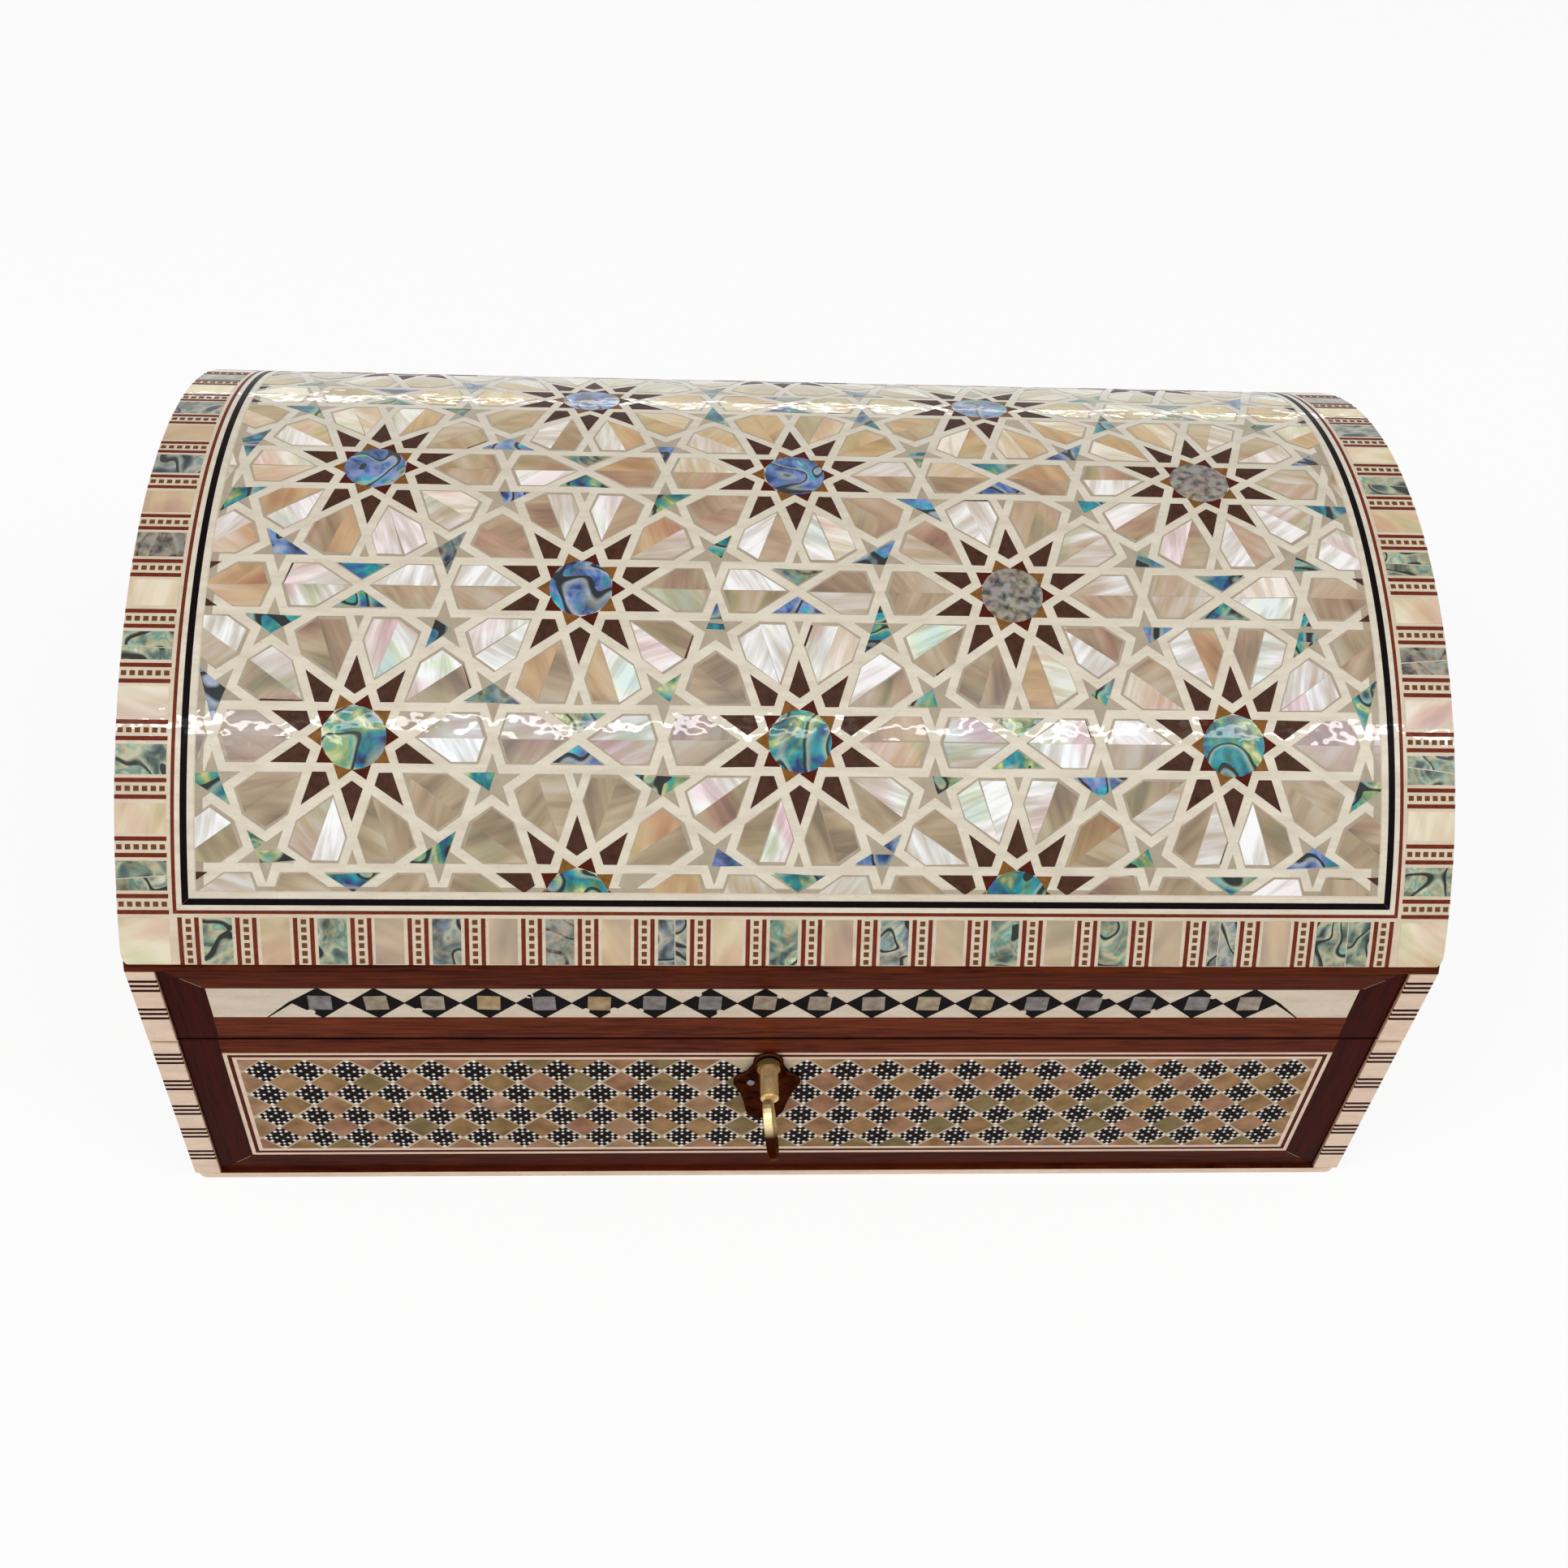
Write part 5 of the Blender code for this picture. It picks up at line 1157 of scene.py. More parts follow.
def draw_border(drawing, sizes):
    """Border of the dome: shell blocks and ladder separators, then string lines round the field."""
    outer_u, outer_v = DOME_HALF_WIDTH, DOME_HALF_ARC
    block = sizes.block_length
    for side in mitred_ring((outer_u, outer_v), (FIELD_HALF_WIDTH, outer_v - BORDER_WIDTH)):
        drawing.add("band_bone", side, -sizes.ground_drop)
    corner = block - 0.3 * MM
    for sign_u in (-1, 1):
        for sign_v in (-1, 1):
            centre = Vector((sign_u * (outer_u - corner / 2), sign_v * (outer_v - corner / 2)))
            square = rectangle(-corner / 2, -corner / 2, corner / 2, corner / 2)
            drawing.add("border_pearl", [point + centre for point in square], tone=0.8)
    half_separator = sizes.separator_width / 2

    def even(outer, gaps):
        """Places of separators spread evenly between two corner blocks."""
        return [(outer - block - half_separator) * (2 * index / gaps - 1) for index in range(gaps + 1)]

    uneven = [FRONT_FIRST + FRONT_STEP * index for index in range(FRONT_GAPS)] + [FRONT_LAST]
    rising = even(outer_v, RISING_GAPS)
    for middles, across, quarter in (
            (uneven, -(outer_v - block / 2), 0), (even(outer_u, FRONT_GAPS), outer_v - block / 2, 0),
            (rising, -(outer_u - block / 2), 1), (rising, outer_u - block / 2, 1)):
        draw_run(drawing, sizes, middles, across, quarter)
    start = Vector((outer_u - block, outer_v - block))
    for name, width in BORDER_STRINGS:
        end = start - Vector((width, width)) * MM
        for side in mitred_ring(start, end):
            drawing.add(name, inset(side, 0.02 * MM))
        start = end


def draw_diamond_band(drawing, sizes, half_u, half_v):
    """Black diamonds on bone: bone triangles leave the diamonds, each with a square of shell."""
    drawing.add("ebony", rectangle(-half_u, -half_v, half_u, half_v), -sizes.ground_drop)
    pitch = sizes.diamond_pitch
    first = -pitch * (DIAMONDS - 1) / 2
    joint = sizes.diamond_joint
    between = []
    for sign in (-1, 1):
        triangle = [(-pitch / 2, sign * half_v), (pitch / 2, sign * half_v), (0.0, 0.0)]
        between.append(("band_bone", inset(triangle, joint), 0.0))
    drawing.add_rows(between, DIAMONDS - 1, 1, pitch, pitch)
    for sign in (-1, 1):
        edge = sign * first
        tip = edge - sign * pitch / 2
        upper = [
            (sign * -half_u, half_v), (edge, half_v), (tip - sign * 0.7 * MM, 0.2 * MM),
            (edge - sign * pitch, -half_v), (sign * -half_u, -half_v)]
        lower = [(edge - sign * pitch, -half_v), (edge, -half_v), (tip, 0.0)]
        drawing.add("band_bone", inset(upper, joint), 0.0)
        drawing.add("band_bone", inset(lower, joint), 0.0)
    square = sizes.diamond_square / 2
    squares = [("band_pearl", rectangle(-square, -square, square, square), 0.0)]
    drawing.add_rows(squares, DIAMONDS, 1, pitch, pitch)
    drawing.settle(["band_pearl"], shift=0.2 * MM, degrees=4.0, rise=0.01 * MM)
    for index in range(DIAMONDS):
        for _ in range(drawing.chance.choice((0, 1, 1, 2))):
            side_u, side_v = drawing.chance.choice((-1, 1)), drawing.chance.choice((-1, 1))
            share = drawing.chance.uniform(0.38, 0.55)
            centre = Vector((
                first + index * pitch + side_u * share * pitch / 2, side_v * (1 - share) * half_v))
            size = drawing.chance.uniform(0.7, 1.1) * MM
            chip = [polar(size * drawing.chance.uniform(0.8, 1.1), 45 * k) for k in range(8)]
            drawing.add("band_bone", [centre + point for point in chip], 0.01 * MM)


def dotted_rhombus(half_u, half_v):
    """Black rhombus of seven by seven small rhombi: white ones on its two axes and along its edges."""
    small_u, small_v = half_u / DOTS_ACROSS, half_v / DOTS_ACROSS
    cut = 1 / DOTS_ACROSS
    black = []
    for tip, following in (((1, 0), (0, 1)), ((0, 1), (-1, 0)), ((-1, 0), (0, -1)), ((0, -1), (1, 0))):
        for share in (cut, 1 - cut):
            black.append((
                (tip[0] * (1 - share) + following[0] * share) * half_u,
                (tip[1] * (1 - share) + following[1] * share) * half_v))
    pieces = [("ebony", black, -0.02 * MM)]
    dot = [Vector(point) for point in ((-small_u, 0.0), (0.0, -small_v), (small_u, 0.0), (0.0, small_v))]
    for i in range(-3, 4):
        for j in range(-3, 4):
            on_axis = abs(i) == abs(j) and i
            on_edge = 3 in (abs(i), abs(j)) and 1 in (abs(i), abs(j))
            if on_axis or on_edge:
                middle = Vector(((i - j) * small_u, (i + j) * small_v))
                share = EDGE_DOT if 3 in (abs(i), abs(j)) else INNER_DOT
                pieces.append(("dot_bone", [middle + point * share for point in dot], 0.0))
    return pieces


def draw_mosaic(drawing, sizes, half_u, half_v, keyhole=None):
    """Dotted black rhombi with tan shell rhombi between them, inside three string lines."""
    ground = rectangle(-half_u, -half_v, half_u, half_v)
    if keyhole is None:
        drawing.add("joint", ground, -sizes.ground_drop)
    else:
        for side in ring(ground, rectangle(*keyhole)):
            drawing.add("joint", side, -sizes.ground_drop)
    inner_u, inner_v = half_u, half_v
    for name in ("strip_bone", "string", "strip_bone"):
        start = (inner_u, inner_v)
        inner_u -= sizes.mosaic_string
        inner_v -= sizes.mosaic_string
        for side in mitred_ring(start, (inner_u, inner_v)):
            drawing.add(name, side)
    pitch = sizes.mosaic_pitch
    columns = int(2 * inner_u / pitch)
    rows = int(2 * inner_v / pitch)
    field = Drawing(columns)
    half = pitch / 2
    cell = [(-half, 0.0), (0.0, -half), (half, 0.0), (0.0, half)]
    shell = [("mosaic_pearl", inset(cell, sizes.mosaic_joint), -0.03 * MM)]
    field.add_rows(shell, columns + 1, rows + 1, pitch, pitch)
    field.settle(["mosaic_pearl"], shift=0.25 * MM, degrees=2.5, rise=0.005 * MM)
    tiles = dotted_rhombus(*(share * pitch for share in RHOMBUS_SHARES))
    known = set(field.shape.faces)
    field.add_rows(tiles, columns, rows, pitch, pitch)
    dotted = [face for face in field.shape.faces if face not in known]
    field.nudge(dotted, pitch, columns, rows, shift=0.2 * MM, degrees=2.0)
    field.trim_to(-inner_u, -inner_v, inner_u, inner_v)
    if keyhole is not None:
        low_u, low_v, high_u, high_v = keyhole
        covered = [
            face for face in field.shape.faces
            if any(low_u - MM < vert.co.x < high_u + MM and low_v - MM < vert.co.y < high_v + MM
                   for vert in face.verts)]
        bmesh.ops.delete(field.shape, geom=covered, context="FACES")
    drawing.merge(field)


def put(piece, body, slot_name, *nodes):
    """Make a finished piece ride on its body and stand for CAD nodes, which it hides; slot_name is not used.
    """
    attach(piece, body)
    if nodes:
        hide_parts(*nodes)


class INLAID_OT_dome_field(bpy.types.Operator):
    """Lay the star pattern on the dome"""

    bl_idname = "inlaid.dome_field"
    bl_label = "Star Field"

    def execute(self, context):
        sizes = context.scene.inlaid_box_sizes
        half_v = DOME_HALF_ARC - BORDER_WIDTH
        drawing = Drawing(seed=11)
        pitch = sizes.star_pitch
        row_pitch = pitch * STAR_ROW_SHARE
        draw_stars(drawing, sizes, FIELD_HALF_WIDTH, half_v, [(pitch / 2, -row_pitch), (pitch, 0.0)])
        drawing.trim_to(-FIELD_HALF_WIDTH, -half_v, FIELD_HALF_WIDTH, half_v)
        drawing.score(half_v, FIELD_SCORE)
        piece = drawing.lay("dome_star_field", on_dome, sizes.piece_depth)
        put(piece, "lid", "pearl", "dome_field")
        return {"FINISHED"}


class INLAID_OT_dome_border(bpy.types.Operator):
    """Lay the block border round the dome's field"""

    bl_idname = "inlaid.dome_border"
    bl_label = "Dome Border"

    def execute(self, context):
        sizes = context.scene.inlaid_box_sizes
        drawing = Drawing(seed=23)
        draw_border(drawing, sizes)
        drawing.settle(["border_pearl"], shift=0.1 * MM, degrees=0.8, rise=0.01 * MM)
        drawing.trim_to(-DOME_HALF_WIDTH, -DOME_HALF_ARC, DOME_HALF_WIDTH, DOME_HALF_ARC)
        soft_u, soft_v = 1.6 * MM, 3.2 * MM
        for sign_u in (-1, 1):
            for sign_v in (-1, 1):
                for degrees in (18, 36, 54, 72):
                    angle = math.radians(degrees)
                    point = (
                        sign_u * (DOME_HALF_WIDTH - soft_u + soft_u * math.cos(angle)),
                        sign_v * (DOME_HALF_ARC - soft_v + soft_v * math.sin(angle)))
                    outward = Vector((
                        sign_u * math.cos(angle) / soft_u, sign_v * math.sin(angle) / soft_v)).normalized()
                    drawing.cut(point, outward, True)
        drawing.score(DOME_HALF_ARC, BORDER_SCORE)
        piece = drawing.lay("dome_block_border", on_dome, INLAY_THICKNESS)
        put(piece, "lid", "bone", "dome_border")
        return {"FINISHED"}


class INLAID_OT_diamond_bands(bpy.types.Operator):
    """Lay the bands of black diamonds on the lid's front and back rails"""

    bl_idname = "inlaid.diamond_bands"
    bl_label = "Diamond Bands"

    def execute(self, context):
        sizes = context.scene.inlaid_box_sizes
        for side, seed in (("front", 31), ("back", 32)):
            half_u, half_v, middle = panel_size(f"lid_{side}_band", side)
            drawing = Drawing(seed)
            draw_diamond_band(drawing, sizes, half_u, half_v)
            piece = drawing.lay(f"lid_{side}_diamond_band", on_side(side, middle), sizes.piece_depth)
            put(piece, "lid", "bone", f"lid_{side}_band")
        return {"FINISHED"}


class INLAID_OT_mosaics(bpy.types.Operator):
    """Lay the rhombus mosaics on the four sides of the base"""

    bl_idname = "inlaid.mosaics"
    bl_label = "Base Mosaics"

    def execute(self, context):
        sizes = context.scene.inlaid_box_sizes
        for side, seed in (("front", 41), ("back", 42), ("left", 43), ("right", 44)):
            half_u, half_v, middle = panel_size(f"base_{side}_inlay", side)
            keyhole = None
            if side == "front":
                key_u, key_v = KEY_AXIS[0], KEY_AXIS[2] - middle
                keyhole = (key_u - KEYHOLE_HALF_WIDTH, key_v - KEYHOLE_DROP,
                           key_u + KEYHOLE_HALF_WIDTH, key_v + KEYHOLE_HALF_WIDTH)
            drawing = Drawing(seed)
            draw_mosaic(drawing, sizes, half_u, half_v, keyhole)
            piece = drawing.lay(f"base_{side}_mosaic", on_side(side, middle), sizes.piece_depth)
            put(piece, "base", "mosaic", f"base_{side}_inlay")
        return {"FINISHED"}


class INLAID_OT_lid_ends(bpy.types.Operator):
    """Lay arched star panels on the lid's two ends"""

    bl_idname = "inlaid.lid_ends"
    bl_label = "Lid End Panels"

    def execute(self, context):
        sizes = context.scene.inlaid_box_sizes
        for side, seed in (("left", 51), ("right", 52)):
            half_u, half_v, middle = panel_size(f"lid_{side}_inlay", side)
            low_v = -half_v
            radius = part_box(f"lid_{side}_inlay")[1].z - DOME_AXIS
            centre_v = DOME_AXIS - middle
            drawing = Drawing(seed)
            inner = sum(width for _, width in END_RINGS) * MM
            stars = Drawing(seed + 100)
            draw_stars(stars, sizes, half_u, half_v * 1.6)
            stars.trim_to(-half_u + inner, low_v + inner, half_u - inner, half_v)
            for index in range(ARCH_STEPS + 1):
                outward = polar(1.0, 20 + 140 * index / ARCH_STEPS)
                stars.cut(Vector((0.0, centre_v)) + outward * (radius - inner), outward, True)
            drawing.merge(stars)
            depth = 0.0
            for name, width in END_RINGS:
                edges = [
                    arch(half_u - margin, low_v + margin, radius - margin, centre_v)
                    for margin in (depth, depth + width * MM)]
                for strip in ring(*edges):
                    drawing.add(name, strip)
                depth += width * MM
            piece = drawing.lay(f"lid_{side}_star_panel", on_side(side, middle), sizes.piece_depth)
            put(piece, "lid", "pearl", f"lid_{side}_inlay")
        return {"FINISHED"}


def arch(half_u, low_v, radius, centre_v):
    """Outline of an arch with a level foot, upright sides and a round top about a centre."""
    angle = math.acos(half_u / radius)
    outline = [Vector((-half_u, low_v)), Vector((half_u, low_v))]
    for step in range(ARCH_STEPS + 1):
        turn = angle + (math.pi - 2 * angle) * step / ARCH_STEPS
        outline.append(Vector((radius * math.cos(turn), centre_v + radius * math.sin(turn))))
    return outline


class INLAID_OT_veneers(bpy.types.Operator):
    """Lay the mitred mahogany veneer round the inlay on every side"""

    bl_idname = "inlaid.veneers"
    bl_label = "Mahogany Veneer"

    def execute(self, context):
        sizes = context.scene.inlaid_box_sizes
        for part, wall, panel in (("base", "wall", "inlay"), ("lid", "rail", "band")):
            for side in ("front", "back"):
                low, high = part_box(f"{part}_{side}_{wall}")
                half_u, half_v, middle = panel_size(f"{part}_{side}_{panel}", side)
                edge = high.x
                foot, head = low.z - middle, high.z - middle
                drawing = Drawing(seed=61)
                gap = sizes.seam_gap
                if part == "base":
                    mitre_v, butt_v, mitre_edge, butt_edge = -half_v, half_v, foot, head - gap
                    seam, tones = head, BASE_VENEER_TONES
                else:
                    mitre_v, butt_v, mitre_edge, butt_edge = half_v, -half_v, head, foot + gap
                    seam, tones = foot, LID_VENEER_TONES
                # A dark veneer bar along the seam: painted shadow of the gap between lid and base
                seam_shadow_bar = rectangle(-edge, min(seam, butt_edge), edge, max(seam, butt_edge))
                drawing.add("veneer", seam_shadow_bar, 0.03 * MM, turn=0.0, tone=SEAM_SHADOW_TONE)
                level = sizes.veneer_depth
                mitred = [(-edge, mitre_edge), (edge, mitre_edge), (half_u, mitre_v), (-half_u, mitre_v)]
                drawing.add("veneer", inset(mitred, MITRE_JOINT), level, turn=0.0, tone=tones[0])
                butted = [(-half_u, butt_v), (half_u, butt_v), (half_u, butt_edge), (-half_u, butt_edge)]
                drawing.add("veneer", inset(butted, MITRE_JOINT), level, turn=0.0, tone=tones[1])
                for sign in (-1, 1):
                    # Stile: a darker tone, partly its veneer and partly painted shade
                    stile = [
                        (sign * edge, mitre_edge), (sign * half_u, mitre_v), (sign * half_u, butt_edge),
                        (sign * edge, butt_edge)]
                    drawing.add("veneer", inset(stile, MITRE_JOINT), level, turn=math.pi / 2, tone=STILE_TONE_AND_SHADE)
                    # A pale line in filler along part of each mitre: painted glint on the joint
                    start, end = Vector((sign * edge, mitre_edge)), Vector((sign * half_u, mitre_v))
                    wide = Vector((0.08 * MM, 0.0))
                    first, last = start.lerp(end, 0.5), start.lerp(end, 0.95)
                    drawing.add(
                        "filler", [first - wide, last - wide, last + wide, first + wide], level + 0.01 * MM)
                piece = drawing.lay(f"{part}_{side}_veneer", on_side(side, middle), level + 0.2 * MM)
                put(piece, part, "mahogany")
                if part == "base":
                    ledge = Drawing(seed=62)
                    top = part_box("bottom_edging")[1].z - middle
                    bar = rectangle(-edge, top + 0.04 * MM, edge, top + 0.26 * MM)
                    ledge.add("veneer", bar, LEDGE_REACH, turn=0.0, tone=tones[0])
                    piece = ledge.lay(f"base_{side}_ledge", on_side(side, middle), LEDGE_REACH - 0.05 * MM)
                    put(piece, part, "mahogany")
        return {"FINISHED"}


class INLAID_OT_corner_strips(bpy.types.Operator):
    """Build the bone corner strips with their groups of three dark lines"""

    bl_idname = "inlaid.corner_strips"
    bl_label = "Corner Strips"

    def execute(self, context):
        sizes = context.scene.inlaid_box_sizes
        for part, groups in STRIP_GROUPS.items():
            for depth in ("front", "back"):
                for side in ("left", "right"):
                    node = f"{part}_{depth}_{side}_strip"
                    low, high = (corner.copy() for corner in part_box(node))
                    if side == "left":
                        high.x += STRIP_JOINT
                    else:
                        low.x -= STRIP_JOINT
                    if part == "base":
                        high.z -= sizes.seam_gap
                    else:
                        low.z += sizes.seam_gap
                    levels = [(low.z, "strip_bone")]
                    for group in groups:
                        for line in (-1, 0, 1):
                            level = group * MM + line * sizes.strip_step
                            levels.append((level - sizes.strip_line / 2, "strip_line"))
                            levels.append((level + sizes.strip_line / 2, "strip_bone"))
                    piece = striped_column(f"{node}_banded", low, high, levels)
                    put(piece, part, "bone", node)
        return {"FINISHED"}


def striped_column(name, low, high, levels):
    """Upright strip with softened edges, its finish changing at each (level, finish)."""
    soft = 0.25 * MM
    outline = []
    for x, y, turn in ((high.x, high.y, 0), (low.x, high.y, 90), (low.x, low.y, 180), (high.x, low.y, 270)):
        middle = Vector((
            x - math.copysign(soft, x - low.x - soft), y - math.copysign(soft, y - low.y - soft)))
        outline += [middle + polar(soft, turn + step) for step in (0, 30, 60, 90)]
    shape = bmesh.new()
    finishes = ["strip_bone", "strip_line", "lip"]
    inner_x = low.x if low.x > 0 else high.x
    bottoms = [level for level, _ in levels]
    rows = [
        [shape.verts.new((point.x, point.y, level)) for point in outline] for level in bottoms + [high.z]]
    shape.faces.new(reversed(rows[0]))
    shape.faces.new(rows[-1])
    for (level, finish_name), lower, upper in zip(levels, rows, rows[1:]):
        for index in range(len(outline)):
            following = (index + 1) % len(outline)
            face = shape.faces.new((lower[index], lower[following], upper[following], upper[index]))
            on_lip = all(abs(outline[point].x - inner_x) < 1e-6 for point in (index, following))
            face.material_index = finishes.index("lip" if on_lip else finish_name)
    return as_object(name, shape, finishes)


class INLAID_OT_velvet_linings(bpy.types.Operator):
    """Make the velvet pads that line the base and the lid"""

    bl_idname = "inlaid.velvet_linings"
    bl_label = "Velvet Linings"

    def execute(self, context):
        sizes = context.scene.inlaid_box_sizes
        faces = {
            "floor": (0, 1, 2, 1), "front": (0, 2, 1, 1), "back": (0, 2, 1, -1), "left": (1, 2, 0, 1),
            "right": (1, 2, 0, -1)}
        for name, (along, across, out, sign) in faces.items():
            low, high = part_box(f"{name}_lining")
            length, width, depth = (high[axis] - low[axis] for axis in (along, across, out))
            back = low[out] if sign > 0 else high[out]

            def place(u, v, height):
                point = Vector((0.0, 0.0, 0.0))
                point[along] = low[along] + u
                point[across] = low[across] + v
                point[out] = back + sign * height
                return point

            piece = velvet_pad(f"{name}_velvet", length, width, depth, sizes.pad_pull, place)
            put(piece, "base", "velvet", f"{name}_lining")
        low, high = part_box("lid_lining")
        outside = high.z - DOME_AXIS
        half = math.acos((low.z - DOME_AXIS) / outside)
        depth = LID_LINING_DEPTH

        def on_vault(u, v, height):
            angle = v / outside - half
            radius = outside - height
            return Vector((low.x + u, radius * math.sin(angle), DOME_AXIS + radius * math.cos(angle)))

        piece = velvet_pad(
            "lid_velvet", high.x - low.x, 2 * half * outside, depth, sizes.pad_pull, on_vault)
        put(piece, "lid", "velvet", "lid_lining")
        return {"FINISHED"}


def velvet_pad(name, length, width, depth, pull, place):
    """Velvet over thin card: crowned, with soft edges whose sides pull in between the corners."""
    columns, rows = (max(PAD_LEAST_STEPS, round(size / PAD_STEP)) for size in (length, width))

    def spaced(count):
        """Shares from 0 to 1, closer together near both ends."""
        return [0.5 - 0.5 * math.cos(math.pi * step / count) for step in range(count + 1)]

    shape = bmesh.new()
    tops, backs = [], []
    for share_v in spaced(rows):
        top_row, back_row = [], []
        for share_u in spaced(columns):
            pulled_u = pull * (1 - 2 * share_u) * math.sin(math.pi * share_v)
            pulled_v = pull * (1 - 2 * share_v) * math.sin(math.pi * share_u)
            u, v = share_u * length + pulled_u, share_v * width + pulled_v
            edge = min(share_u, 1 - share_u) * length, min(share_v, 1 - share_v) * width
            rise = 1.0
            for distance in edge:
                closeness = 1 - min(distance / PAD_SOFT_EDGE, 1.0)
                rise *= math.sqrt(1 - 0.8 * closeness ** 2)
            crown = 0.85 + 0.15 * math.sin(math.pi * share_u) * math.sin(math.pi * share_v)
            top_row.append(shape.verts.new(place(u, v, depth * rise * crown)))
            back_row.append(shape.verts.new(place(u, v, 0.0)))
        tops.append(top_row)
        backs.append(back_row)
    for row in range(rows):
        for column in range(columns):
            corners = ((row, column), (row, column + 1), (row + 1, column + 1), (row + 1, column))
            shape.faces.new([tops[i][j] for i, j in corners])
            shape.faces.new([backs[i][j] for i, j in reversed(corners)])
    rim = [(0, j) for j in range(columns)] + [(i, columns) for i in range(rows)]
    rim += [(rows, j) for j in range(columns, 0, -1)] + [(i, 0) for i in range(rows, 0, -1)]
    for here, following in zip(rim, rim[1:] + rim[:1]):
        shape.faces.new((
            tops[following[0]][following[1]], tops[here[0]][here[1]], backs[here[0]][here[1]],
            backs[following[0]][following[1]]))
    bmesh.ops.recalc_face_normals(shape, faces=shape.faces)
    for face in shape.faces:
        face.smooth = True
    return as_object(name, shape, ["velvet"])


class INLAID_OT_carried_over(bpy.types.Operator):
    """Give the solids that stay as they are their finishes"""

    bl_idname = "inlaid.carried_over"
    bl_label = "Boards and Metalwork"

    def execute(self, context):
        for name, node in frame["nodes"].items():
            chosen = next((
                finish_name for finish_name, words in CARRIED_FINISHES
                if any(word in name for word in words)), "mahogany")
            node.data.materials.clear()
            node.data.materials.append(finish(chosen))
        return {"FINISHED"}


def seen(tree):
    """1 where a ray comes from the camera, a gloss or a glass, and 0 where it only carries light."""
    rays = add_node(tree, "ShaderNodeLightPath").outputs
    sharp = add_node(tree, "ShaderNodeMath", {0: rays["Is Glossy Ray"], 1: rays["Is Transmission Ray"]},
                     operation="MAXIMUM")
    return add_node(tree, "ShaderNodeMath", {0: rays["Is Camera Ray"], 1: sharp}, operation="MAXIMUM")


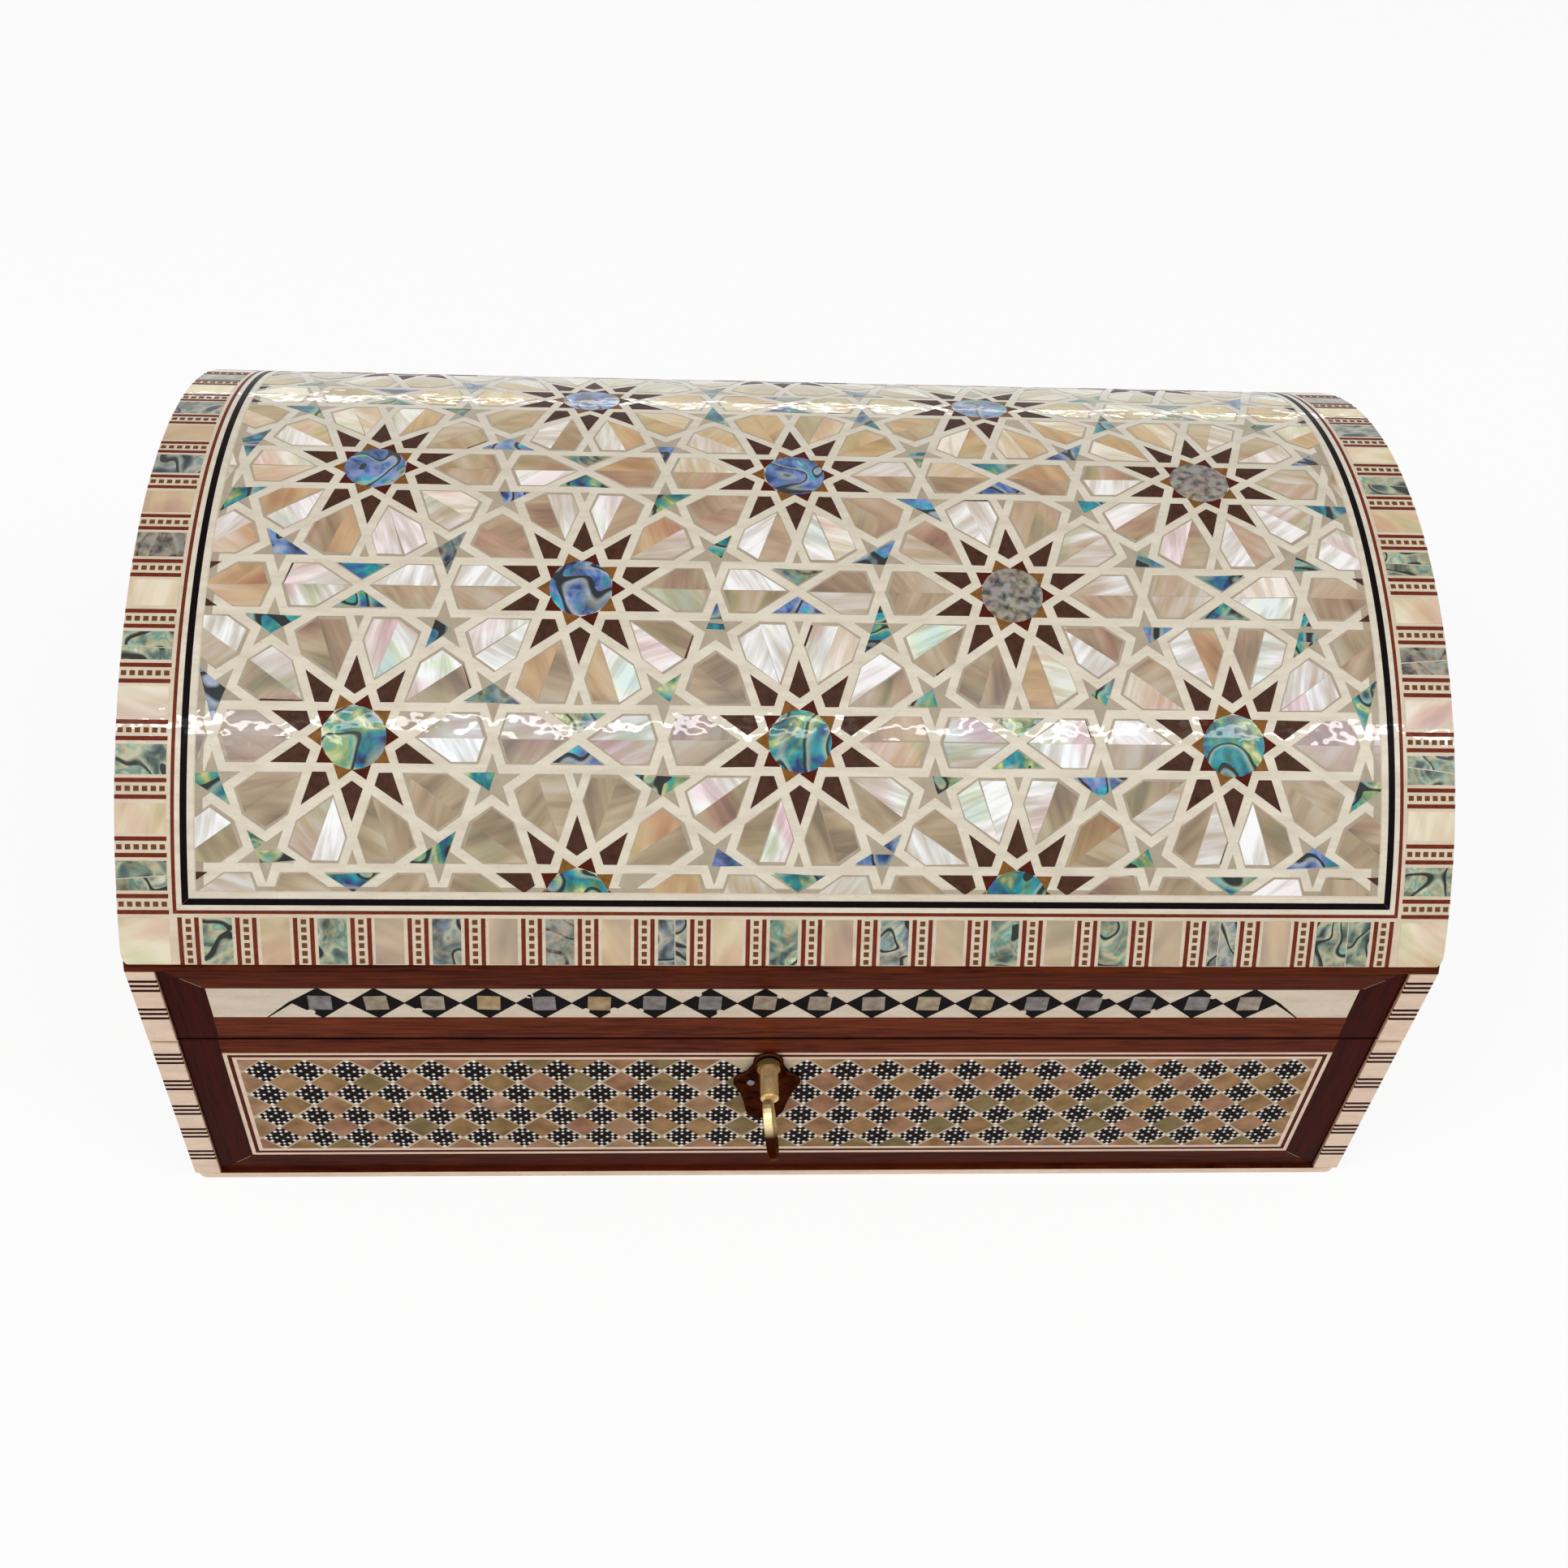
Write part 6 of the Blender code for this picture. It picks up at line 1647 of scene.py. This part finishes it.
class INLAID_OT_stage(bpy.types.Operator):
    """Set the floor, the soft studio light and the camera"""

    bl_idname = "inlaid.stage"
    bl_label = "Stage"

    def execute(self, context):
        scene = context.scene
        look = scene.inlaid_box_colours
        scene.view_settings.view_transform = "Standard"

        floor_mesh = bpy.data.meshes.new("floor")
        corners = rectangle(-FLOOR_REACH, -FLOOR_REACH, FLOOR_REACH, FLOOR_REACH)
        floor_mesh.from_pydata([(*corner, 0.0) for corner in corners], [], [(0, 1, 2, 3)])
        floor_material, tree = start_material("painted_floor", {
            "Roughness": 0.9, "Specular IOR Level": 0.1, "Base Color": (*look.floor, 1.0)})
        # Seen by the camera, in gloss or through glass, the floor is nearly white and keeps its shadow
        glow = add_node(tree, "ShaderNodeEmission", {"Color": (*WHITE, 1.0), "Strength": 1.0})
        share = add_node(tree, "ShaderNodeMath", {0: seen(tree), 1: FLOOR_GLOW}, operation="MULTIPLY")
        mixed = add_node(tree, "ShaderNodeMixShader", {
            0: share, 1: tree.nodes["Principled BSDF"], 2: glow})
        feed(tree, tree.nodes["Material Output"], {"Surface": mixed})
        floor_mesh.materials.append(floor_material)
        floor = bpy.data.objects.new("floor", floor_mesh)
        scene.collection.objects.link(floor)

        world = bpy.data.worlds.new("studio")
        scene.world = world
        world.use_nodes = True
        tree = world.node_tree
        strength = add_node(tree, "ShaderNodeMath", {0: seen(tree), 1: WORLD_SEEN, 2: WORLD_LIGHT},
                            operation="MULTIPLY_ADD")
        feed(tree, tree.nodes["Background"], {"Color": (*WHITE, 1.0), "Strength": strength})

        for name, (place, target, width, height, watts) in LAMPS.items():
            light = bpy.data.lights.new(name, "AREA")
            light.shape = "RECTANGLE"
            light.size = width
            light.size_y = height
            light.energy = watts
            lamp = bpy.data.objects.new(name, light)
            lamp.location = place
            aim = Vector(target) - Vector(place)
            lamp.rotation_euler = aim.to_track_quat("-Z", "Y").to_euler()
            scene.collection.objects.link(lamp)

        camera = bpy.data.cameras.new("camera")
        camera.lens = CAMERA_LENS
        camera.sensor_width = CAMERA_SENSOR
        eye = bpy.data.objects.new("camera", camera)
        level = math.cos(CAMERA_PITCH)
        forward = Vector((
            math.sin(CAMERA_YAW) * level, math.cos(CAMERA_YAW) * level, -math.sin(CAMERA_PITCH)))
        across = Vector((math.cos(CAMERA_YAW), -math.sin(CAMERA_YAW), 0.0))
        upward = across.cross(forward)
        right = math.cos(CAMERA_ROLL) * across + math.sin(CAMERA_ROLL) * upward
        up = -math.sin(CAMERA_ROLL) * across + math.cos(CAMERA_ROLL) * upward
        turn = Matrix((right, up, -forward)).transposed()
        eye.matrix_world = Matrix.Translation(CAMERA_PLACE) @ turn.to_4x4()
        scene.collection.objects.link(eye)
        scene.camera = eye
        return {"FINISHED"}


class INLAID_PT_panel(bpy.types.Panel):
    """Lists the steps that dress the box"""

    bl_idname = "INLAID_PT_panel"
    bl_label = "Inlaid Box"
    bl_space_type = "VIEW_3D"
    bl_region_type = "UI"
    bl_category = "Inlaid Box"

    def draw(self, context):
        for operator in OPERATORS:
            self.layout.operator(operator.bl_idname)


OPERATORS = (
    INLAID_OT_carried_over, INLAID_OT_dome_field, INLAID_OT_dome_border, INLAID_OT_diamond_bands,
    INLAID_OT_mosaics, INLAID_OT_lid_ends, INLAID_OT_veneers, INLAID_OT_corner_strips,
    INLAID_OT_velvet_linings, INLAID_OT_stage)
CLASSES = (InlaidBoxSizes, InlaidBoxColours, *OPERATORS, INLAID_PT_panel)


def register():
    """Register the classes and hang the properties on the scene."""
    for item in CLASSES:
        bpy.utils.register_class(item)
    bpy.types.Scene.inlaid_box_sizes = bpy.props.PointerProperty(type=InlaidBoxSizes)
    bpy.types.Scene.inlaid_box_colours = bpy.props.PointerProperty(type=InlaidBoxColours)


def unregister():
    """Take the properties and classes away again."""
    del bpy.types.Scene.inlaid_box_colours
    del bpy.types.Scene.inlaid_box_sizes
    for item in reversed(CLASSES):
        bpy.utils.unregister_class(item)


def main():
    """Register the steps and dress the box."""
    register()
    for operator in OPERATORS:
        family, name = operator.bl_idname.split(".")
        getattr(getattr(bpy.ops, family), name)()


if __name__ == "__main__":
    main()
